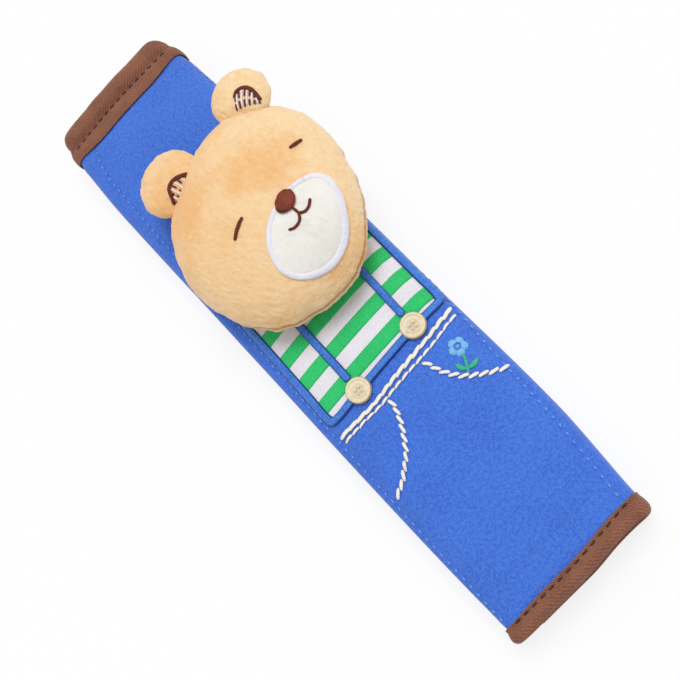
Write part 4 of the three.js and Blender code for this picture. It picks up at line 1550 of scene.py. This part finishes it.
    def _button(self, name: str, middle: Vector, ground: Ground) -> bpy.types.Object:
        """Turns one button's profile and adds its knots."""
        radius = self.button_radius
        profile = [
            (0.0, 0.6), (0.3, 0.6), (0.42, 0.85), (0.5, 1.15), (0.57, 1.15), (0.64, 0.6), (0.7, 0.6),
            (0.78, 1.35), (0.88, 1.5), (0.96, 1.15), (1.0, 0.7), (1.0, 0.1),
        ]
        shape = bmesh.new()
        ring = [shape.verts.new((share * radius, 0, height * MM)) for share, height in profile]
        edges = [shape.edges.new(pair) for pair in zip(ring, ring[1:])]
        bmesh.ops.spin(
            shape, geom=ring + edges, cent=(0, 0, 0), axis=UP, angle=2 * math.pi, steps=40, use_merge=True,
        )
        bmesh.ops.remove_doubles(shape, verts=shape.verts, dist=SAME_POINT)
        for index in range(4):
            turn = math.pi / 4 + index * math.pi / 2
            x, y = math.cos(turn) * radius * 0.27, math.sin(turn) * radius * 0.27
            knot = Matrix.Translation((x, y, self.knot_height))
            made = bmesh.ops.create_uvsphere(
                shape, u_segments=10, v_segments=7, radius=self.knot_radius, matrix=knot,
            )
            middle_height = Matrix.Translation((0, 0, -self.knot_height))
            bmesh.ops.scale(shape, vec=(1, 1, 0.7), verts=made["verts"], space=middle_height)
        bmesh.ops.recalc_face_normals(shape, faces=shape.faces)
        spots = {}
        base, _ = ground.drop(middle)
        for vertex in shape.verts:
            turn = math.atan2(vertex.co.y, vertex.co.x)
            spots[vertex] = (turn * radius * 0.8, vertex.co.to_2d().length)
            spot = middle + vertex.co.to_2d()
            below, _ = ground.drop(spot)
            level = mix(below.z, base.z, self.button_level) + self.button_lift
            vertex.co = Vector((spot.x, spot.y, level + vertex.co.z))
        write_chart(shape, spots)
        return to_object(name, shape)

    def build_trousers(self, ground: Ground) -> None:
        """Sews the waistband's two rows and the two pockets."""
        rows = self.trouser_rows()
        rope = Vector((4.3, 1.5, 1.2)) * MM
        rest = -0.1 * MM
        looks = {
            "waistband_upper": ("waistband_stitch_upper", 4.6, Vector((5.9, 1.75, 1.3)) * MM, 0.16),
            "waistband_lower": ("waistband_stitch_lower", 3.9, Vector((4.1, 1.2, 1.0)) * MM, 0.12),
            "left_pocket": ("left_pocket_stitch", 3.5, rope, 0.42),
            "right_pocket": ("right_pocket_stitch", 3.4, rope, 0.42),
        }
        for name, (node, pitch, size, slant) in looks.items():
            stitch = Stitch(pitch * MM, size, slant, rest)
            row = stitch_piece(f"{name}_stitches", rows[name], stitch, ground.lift)
            self.wardrobe.dress(row, "cream_thread", [node])

    def build_flower(self, ground: Ground) -> None:
        """Sews the small flower, its eye and its stem with two leaves."""
        middle = self.sleeve.plan(24.4 * MM, -54.8 * MM)
        radius = self.flower_radius
        shape = bmesh.new()
        spots = {}
        made = bmesh.ops.create_grid(shape, x_segments=60, y_segments=9, size=0.5)
        for vertex in made["verts"]:
            turn = (vertex.co.x + 0.5) * 2 * math.pi
            share = vertex.co.y + 0.5
            lobe = abs(math.sin(2.5 * turn)) ** 0.7
            reach = radius * (0.78 + 0.27 * lobe) * share
            height = 1.1 * MM * math.sqrt(clamp(1 - share**4)) * mix(1, mix(0.45, 1, lobe), share)
            spots[vertex] = (turn * radius * 0.6, share * radius)
            spot = middle + Vector((math.cos(turn), math.sin(turn))) * reach
            vertex.co = ground.lift(spot, height - 0.1 * MM)
        write_chart(shape, spots)
        bmesh.ops.remove_doubles(shape, verts=shape.verts, dist=SAME_POINT)
        bmesh.ops.recalc_face_normals(shape, faces=shape.faces)
        petals = to_object("flower_petals_satin", shape)
        self.wardrobe.dress(petals, "sky_thread", ["flower_petals"])
        self._flower_eye(middle, ground)
        stem = bmesh.new()
        leaf = lambda share: 0.25 + 0.75 * math.sin(math.pi * share)
        paths = [
            ([(23.9, -58), (23, -60.4), (21.8, -62.6), (20.3, -64.9)], 1.1, lambda share: 1.0),
            ([(21.4, -63.2), (19.9, -61.4), (19.4, -58.8)], 1.9, leaf),
            ([(21.6, -63), (23.9, -63.7), (26.8, -63)], 2.0, leaf),
        ]
        for points, width, swell in paths:
            thread = Thread(across=width * MM, tall=0.8 * MM, rest=-0.1 * MM, step=0.4 * MM, round_ends=0.3)
            bead(stem, plan_path(self.sleeve, points), thread, ground.lift, swell)
        piece = to_object("flower_stem_satin", stem)
        self.wardrobe.dress(piece, "leaf_thread", ["flower_stem"])

    def _flower_eye(self, middle: Vector, ground: Ground) -> None:
        """Sews the flower's darker eye as a small ring."""
        ring = Path([
            (middle.x / MM + 1.1 * math.cos(turn), middle.y / MM + 1.1 * math.sin(turn))
            for turn in [index * math.pi / 4 for index in range(8)]
        ], closed=True)
        thread = Thread(across=0.7 * MM, tall=0.6 * MM, rest=0.75 * MM, step=0.3 * MM, round_ends=0.0)
        eye = bead_piece("flower_eye_ring", ring, thread, ground.lift)
        self.wardrobe.dress(eye, "blue_satin", ["flower_centre"])


# Head


@dataclass
class Head:
    """The stuffed head with its ears and its sewn face."""

    wardrobe: Wardrobe
    seam_height: float = 30 * MM
    swell: float = 0.9 * MM
    ear_swell: float = 1.3 * MM
    voxel: float = 3.6 * MM
    ear_voxel: float = 1.6 * MM
    pressure: float = 6.0
    shell_reach: float = 4 * MM
    low_shift: Vector = field(default_factory=lambda: Vector((0.15, -1.25, -0.1)) * MM)
    high_shift: Vector = field(default_factory=lambda: Vector((-0.5, -1.1, 0.7)) * MM)
    seam_groove: float = 0.5 * MM
    groove_width: float = 0.9 * MM
    unevenness: float = 0.5 * MM
    muzzle_cloth: float = 0.9 * MM
    muzzle_edge: float = 0.3 * MM
    muzzle_puff: float = 1.3 * MM
    nose_puff: float = 1.1 * MM
    nose_sunk: float = 0.3 * MM
    chin_rise: float = 1.6 * MM
    chin_from: float = -30 * MM
    chin_to: float = 10 * MM

    def _solid(self, name: str, nodes: Sequence[str], voxel: float) -> bpy.types.Object:
        """Joins copies of CAD nodes into one remeshed solid.

        Args:
            name: the new piece's name.
            nodes: the nodes to copy.
            voxel: the remesh's voxel size.

        Returns:
            The solid, not yet dressed.
        """
        shape = bmesh.new()
        for node in nodes:
            shape.from_mesh(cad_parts[node].data)
        bmesh.ops.remove_doubles(shape, verts=shape.verts, dist=SAME_POINT)
        piece = to_object(name, shape)
        remesh = piece.modifiers.new("voxels", "REMESH")
        remesh.mode = "VOXEL"
        remesh.voxel_size = voxel
        apply_all(piece)
        return piece

    @staticmethod
    def _soften(piece: bpy.types.Object, levels: int) -> None:
        """Subdivides a piece's own mesh, so that finer work can follow."""
        smooth = piece.modifiers.new("smooth", "SUBSURF")
        smooth.levels = levels
        smooth.render_levels = levels
        apply_all(piece)
        piece.data.polygons.foreach_set("use_smooth", [True] * len(piece.data.polygons))

    @staticmethod
    def _fit(piece: bpy.types.Object, low: Vector, high: Vector) -> None:
        """Stretches and shifts a piece's mesh so that it fills the box from low to high."""
        mesh = piece.data
        spots = [vertex.co for vertex in mesh.vertices]
        least = Vector(min(spot[axis] for spot in spots) for axis in range(3))
        most = Vector(max(spot[axis] for spot in spots) for axis in range(3))
        grow = Vector((high[axis] - low[axis]) / (most[axis] - least[axis]) for axis in range(3))
        for vertex in mesh.vertices:
            vertex.co = low + (vertex.co - least) * grow
        mesh.update()

    @staticmethod
    def _onto(piece: bpy.types.Object, nodes: Sequence[str], reach: float) -> None:
        """Moves a piece's points out to the faces of CAD nodes that lie round it."""
        shape = bmesh.new()
        for node in nodes:
            shape.from_mesh(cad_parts[node].data)
        tree = BVHTree.FromBMesh(shape)
        shape.free()

        def moved(place: Vector, normal: Vector) -> Vector:
            """Returns the outermost face that a point can reach, or the point itself."""
            hit, _, _, _ = tree.ray_cast(place + normal * reach, -normal, reach)
            return place if hit is None else hit

        reshape(piece, moved)

    def build_plush(self) -> bpy.types.Object:
        """Builds the stuffed head, swollen by its filling, with the seam pulled in."""
        head = self._solid("plush_head", ["head_stuffing"], self.voxel)
        low, high = Vector(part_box("head_back")[0]), Vector(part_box("head_front")[1])
        self._fit(head, low, high)
        self._onto(head, ["head_front", "head_back"], self.shell_reach)
        puff(head, self.swell, self.pressure)
        self._soften(head, 3)
        self._fit(head, low + self.low_shift, high + self.high_shift)

        def moved(place: Vector, normal: Vector) -> Vector:
            """Pulls the seam in, and lays soft bumps and the pile over the head."""
            flat = Vector((normal.x, normal.y, 0))
            seam = self.seam_height + self.chin_rise * ease(-place.y, self.chin_from, self.chin_to)
            groove = self.seam_groove * bell(place.z - seam, self.groove_width) * clamp(flat.length * 1.5)
            soft = noise.noise(place * 45) * self.unevenness
            return place + normal * (soft + self._pile(place)) - flat * groove

        reshape(head, moved)
        self.wardrobe.dress(head, "peach_plush", ["head_front", "head_back"])
        self.wardrobe.keep("head_stuffing", "stuffing")
        return head

    @staticmethod
    def _pile(place: Vector) -> float:
        """Returns the height of the brushed pile's tufts at a place."""
        brushed = Vector((place.x + 0.4 * place.y, 0.45 * (place.y - 0.4 * place.x), place.z))
        tufts = noise.noise(brushed * 620) * 0.26 * MM
        tips = noise.noise(brushed * 1300) * 0.14 * MM
        return tufts + tips

    def build_ears(self) -> list[bpy.types.Object]:
        """Builds the two puffed ears, each stretched about its centre and shifted a little."""
        fits = {
            "left": (Vector((-6.5, 72.8, 0)), Vector((0.6, -1.8, 0)), Vector((1.07, 1.1, 1.0))),
            "right": (Vector((38.0, 75.4, 0)), Vector((-0.6, -1.6, 0)), Vector((1.2, 1.13, 1.0))),
        }
        made = []
        for side, (centre, shift, grow) in fits.items():
            ear = self._solid(f"plush_{side}_ear", [f"{side}_ear"], self.ear_voxel)
            puff(ear, self.ear_swell, self.pressure)
            self._soften(ear, 2)

            def moved(place: Vector, normal: Vector) -> Vector:
                """Stretches and shifts the ear, and lays the pile over it."""
                spot = (place - centre * MM) * grow + (centre + shift) * MM
                return spot + normal * self._pile(spot)

            reshape(ear, moved)
            self.wardrobe.dress(ear, "peach_plush", [f"{side}_ear"])
            made.append(ear)
        return made

    def build_face(self, plush: bpy.types.Object) -> None:
        """Sews the muzzle, the nose, the mouth and the closed eyes."""
        ground = Ground([plush])
        outline = Path([
            (31.0, 22.5), (34.9, 20.9), (37.1, 17.4), (36.2, 11.8), (34.0, 6.8), (29.4, 0.5), (24.2, -3.9),
            (18, -6.1), (12.8, -5.8), (8, -3.9), (4.7, -1), (2.9, 2.6), (2.9, 7.1), (5.1, 12.6), (8.4, 16.5),
            (12.8, 19.7), (17.9, 21.6), (25, 23),
        ], closed=True)
        muzzle = self._muzzle(outline, Vector((20.5, 9.3)) * MM, ground)
        on_muzzle = Ground([plush, muzzle])
        band = Thread(across=2.3 * MM, tall=1.3 * MM, rest=-0.1 * MM, round_ends=0.0, step=0.8 * MM)
        border = bead_piece("muzzle_satin_border", outline, band, ground.lift)
        self.wardrobe.dress(border, "white_satin", ["muzzle_border"])
        self._nose(on_muzzle)
        line = Thread(
            across=1.1 * MM, tall=0.9 * MM, rest=-0.15 * MM, sides=10, step=0.5 * MM, round_ends=0.5,
        )
        stem = Path([(21.2, 17), (21.4, 15), (21.5, 13.4)])
        lips = Path([
            (14.5, 11.7), (16.3, 10.7), (18.8, 10.7), (20.4, 11.7), (21.5, 13.2), (23.3, 12.2), (25.8, 12.8),
            (28.1, 14.7),
        ])
        mouth = bmesh.new()
        bead(mouth, stem, line, on_muzzle.lift)
        bead(mouth, lips, line, on_muzzle.lift)
        self.wardrobe.dress(to_object("mouth_stitches", mouth), "face_thread", ["mouth"])
        lid = Thread(across=1.5 * MM, tall=1.0 * MM, rest=-0.1 * MM, step=0.5 * MM, round_ends=0.4)
        taper = lambda share: 0.75 + 0.25 * math.sin(math.pi * share)
        eyes = {
            "left": [(-2.2, 25.3), (2, 27.7), (6.1, 29.3)],
            "right": [(35.9, 36.5), (38.7, 36.3), (41.6, 36.4)],
        }
        for side, points in eyes.items():
            eye = bead_piece(f"{side}_sleeping_eye", Path(points), lid, ground.lift, taper)
            self.wardrobe.dress(eye, "face_thread", [f"{side}_eye"])

    def _muzzle(self, outline: Path, middle: Vector, ground: Ground) -> bpy.types.Object:
        """Builds the puffed white muzzle inside its outline."""
        shape = bmesh.new()
        spots = {}
        made = bmesh.ops.create_grid(shape, x_segments=96, y_segments=18, size=0.5)
        for vertex in made["verts"]:
            share = vertex.co.y + 0.5
            edge, _ = outline.at(vertex.co.x + 0.5)
            spot = middle.lerp(edge, share)
            height = self.muzzle_edge + self.muzzle_puff * math.sqrt(clamp(1 - share**3))
            spots[vertex] = (spot.x, spot.y)
            vertex.co = ground.lift(spot, height, 2.5 * MM)
        write_chart(shape, spots)
        bmesh.ops.remove_doubles(shape, verts=shape.verts, dist=SAME_POINT)
        muzzle = to_object("white_muzzle", shape)
        face_up(muzzle)
        thicken(muzzle, self.muzzle_cloth)
        self.wardrobe.dress(muzzle, "muzzle_cloth", ["muzzle_patch"])
        return muzzle

    def _nose(self, ground: Ground) -> None:
        """Sews the rounded satin nose."""
        shape = bmesh.new()
        spots = {}
        centre = Vector((21.1, 20.6)) * MM
        half = Vector((4.9, 4.1)) * MM
        turn = Matrix.Rotation(0.62, 2)
        made = bmesh.ops.create_uvsphere(shape, u_segments=32, v_segments=18, radius=1)
        for vertex in made["verts"]:
            x, y, z = vertex.co
            narrowing = 1 - 0.12 * max(0.0, -y)
            spot = turn @ Vector((x * narrowing * half.x, y * half.y)) + centre
            spots[vertex] = (y * half.y, x * half.x)
            vertex.co = ground.lift(spot, self.nose_puff * (1 + z) - self.nose_sunk, 2.0 * MM)
        write_chart(shape, spots)
        bmesh.ops.recalc_face_normals(shape, faces=shape.faces)
        self.wardrobe.dress(to_object("satin_nose", shape), "nose_satin", ["nose"])

    def build_ear_drawings(self, ground: Ground) -> None:
        """Sews each ear's brown arc and the brown bars that run from it to the head, and lays pale bars
        between them as painted highlight.
        """
        drawings = {
            "left": (
                [(2.2, 65), (-1, 66.4), (-4.8, 66.9), (-7.2, 65.4), (-8.6, 62.6), (-10.2, 60.6)],
                (1.2, 61.2), (-9.2, 60.0), 9,
            ),
            "right": (
                [(35.6, 71.4), (38.2, 73.1), (41.1, 71.9), (42.5, 68), (41.8, 62.9)],
                (32.4, 67.7), (41.2, 61.9), 11,
            ),
        }
        arc = Thread(across=1.6 * MM, tall=0.9 * MM, rest=-0.1 * MM, step=0.5 * MM, round_ends=0.3)
        bar = Thread(across=0.75 * MM, tall=0.7 * MM, rest=-0.1 * MM, step=0.5 * MM, round_ends=0.3, sides=8)
        for side, (points, foot, last_foot, count) in drawings.items():
            line = Path(points)
            brown, pale = bmesh.new(), bmesh.new()
            bead(brown, line, arc, ground.lift)
            for index in range(count):
                share = (index + 0.5) / count
                start, _ = line.at(mix(0.06, 0.96, share))
                end = Vector(foot).lerp(Vector(last_foot), share) * MM
                # The odd bars are pale satin laid between the brown tines: painted highlight
                if index % 2:
                    bead(pale, self._bar(start, end, 0.1, 0.95), bar, ground.lift)
                else:
                    bead(brown, self._bar(start, end, 0.1, 0.5), bar, ground.lift)
                    bead(brown, self._bar(start, end, 0.6, 1.0), bar, ground.lift)
            drawn = to_object(f"{side}_ear_brown_stitches", brown)
            self.wardrobe.dress(drawn, "face_thread", [f"{side}_ear_embroidery"])
            # The pale bars are painted highlight between the brown tines
            self.wardrobe.dress(to_object(f"{side}_ear_painted_highlight_bars", pale), "white_satin")

    @staticmethod
    def _bar(start: Vector, end: Vector, low: float, high: float) -> Path:
        """Returns the straight path between two shares of the way from start to end."""
        spots = [start.lerp(end, mix(low, high, share)) / MM for share in (0, 0.5, 1)]
        return Path([(spot.x, spot.y) for spot in spots])


# Studio


@dataclass(frozen=True)
class Studio:
    """The camera, the lamps and the pale floor."""

    camera_place: Vector = field(default_factory=lambda: Vector((32.128, -159.543, 366.188)) * MM)
    aim: Vector = field(default_factory=lambda: Vector((-4.706, -13.106, 1.1)) * MM)
    roll: float = -0.774525
    lens: float = 52.94
    sensor: float = 36.0
    sky: float = 0.55
    lamp: float = 1.6
    lamp_spread: float = math.radians(35)
    lamp_way: Vector = field(default_factory=lambda: Vector((-0.28, -0.3, -1.0)))
    floor_half: float = 3.0
    floor_drop: float = 0.2 * MM
    floor_grey: float = 0.97
    floor_glow: float = 0.8

    def build_camera(self) -> None:
        """Places the camera at the photograph's view."""
        forward = (self.aim - self.camera_place).normalized()
        right = forward.cross(Vector((0, 1, 0))).normalized()
        up = right.cross(forward)
        side = right * math.cos(self.roll) + up * math.sin(self.roll)
        top = -right * math.sin(self.roll) + up * math.cos(self.roll)
        data = bpy.data.cameras.new("photo_view")
        data.lens = self.lens
        data.sensor_width = self.sensor
        camera = bpy.data.objects.new("photo_view", data)
        turned = Matrix((side, top, -forward)).transposed().to_4x4()
        camera.matrix_world = Matrix.Translation(self.camera_place) @ turned
        bpy.context.scene.collection.objects.link(camera)
        bpy.context.scene.camera = camera

    def build_light(self) -> None:
        """Lights the pad softly from above, a little from its head's side."""
        world = bpy.data.worlds.new("studio")
        world.use_nodes = True
        background = world.node_tree.nodes["Background"]
        background.inputs["Color"].default_value = (1, 1, 1, 1)
        graph = Graph(world.node_tree)
        path = graph.add("ShaderNodeLightPath")
        seen = graph.math("MAXIMUM", path.outputs["Is Camera Ray"], path.outputs["Is Glossy Ray"])
        seen = graph.math("MAXIMUM", seen, path.outputs["Is Transmission Ray"])
        strength = graph.math("MULTIPLY_ADD", seen, 1 - self.sky, self.sky)
        graph.feed(background.inputs["Strength"], strength)
        bpy.context.scene.world = world
        lamp = bpy.data.lights.new("softbox", "SUN")
        lamp.energy = self.lamp
        lamp.angle = self.lamp_spread
        softbox = bpy.data.objects.new("softbox", lamp)
        way = self.lamp_way.normalized()
        softbox.matrix_world = way.to_track_quat("-Z", "Y").to_matrix().to_4x4()
        bpy.context.scene.collection.objects.link(softbox)

    def build_floor(self) -> None:
        """Lays the white floor, which keeps the pad's shadow."""
        shape = bmesh.new()
        bmesh.ops.create_grid(shape, x_segments=1, y_segments=1, size=self.floor_half)
        bmesh.ops.translate(shape, verts=shape.verts, vec=(0, 0, -self.floor_drop))
        floor = to_object("studio_floor", shape, smooth=False)
        material = bpy.data.materials.new("white_floor")
        material.use_nodes = True
        graph = Graph(material.node_tree)
        graph.tree.nodes.clear()
        matte = graph.add("ShaderNodeBsdfDiffuse")
        matte.inputs["Color"].default_value = (*[self.floor_grey] * 3, 1)
        glow = graph.add("ShaderNodeEmission")
        path = graph.add("ShaderNodeLightPath")
        share = graph.math("MULTIPLY", path.outputs["Is Camera Ray"], self.floor_glow)
        both = graph.add("ShaderNodeMixShader")
        graph.feed(both.inputs[0], share)
        graph.feed(both.inputs[1], matte.outputs[0])
        graph.feed(both.inputs[2], glow.outputs[0])
        out = graph.add("ShaderNodeOutputMaterial")
        graph.feed(out.inputs["Surface"], both.outputs[0])
        floor.data.materials.append(material)


def main() -> None:
    """Builds the studio and every piece of the pad, in order."""
    logging.basicConfig(level=logging.INFO, format="%(name)s: %(message)s")
    bpy.context.scene.view_settings.view_transform = "Standard"
    studio = Studio()
    studio.build_camera()
    studio.build_light()
    studio.build_floor()
    wardrobe = Wardrobe()
    sleeve = Sleeve()
    cover = Cover(sleeve, wardrobe)
    dungarees = Dungarees(sleeve, wardrobe)
    sewn = SewnLines()
    cover.add_dents(sewn)
    dungarees.add_dents(sewn)
    cloth = cover.build_cloth(sewn)
    cover.build_foam()
    cover.build_lining()
    bindings = [cover.build_binding(head=True), cover.build_binding(head=False)]
    cover.keep_hidden()
    front = Ground([cloth])
    cover.build_rows(Ground([cloth, *bindings]))
    shirt = dungarees.build_shirt(front)
    on_shirt = Ground([cloth, *shirt])
    dungarees.build_satin(front, on_shirt)
    dungarees.build_buttons(on_shirt)
    dungarees.build_trousers(front)
    dungarees.build_flower(front)
    head = Head(wardrobe)
    plush = head.build_plush()
    ears = head.build_ears()
    head.build_face(plush)
    head.build_ear_drawings(Ground(ears))


if __name__ == "__main__":
    main()
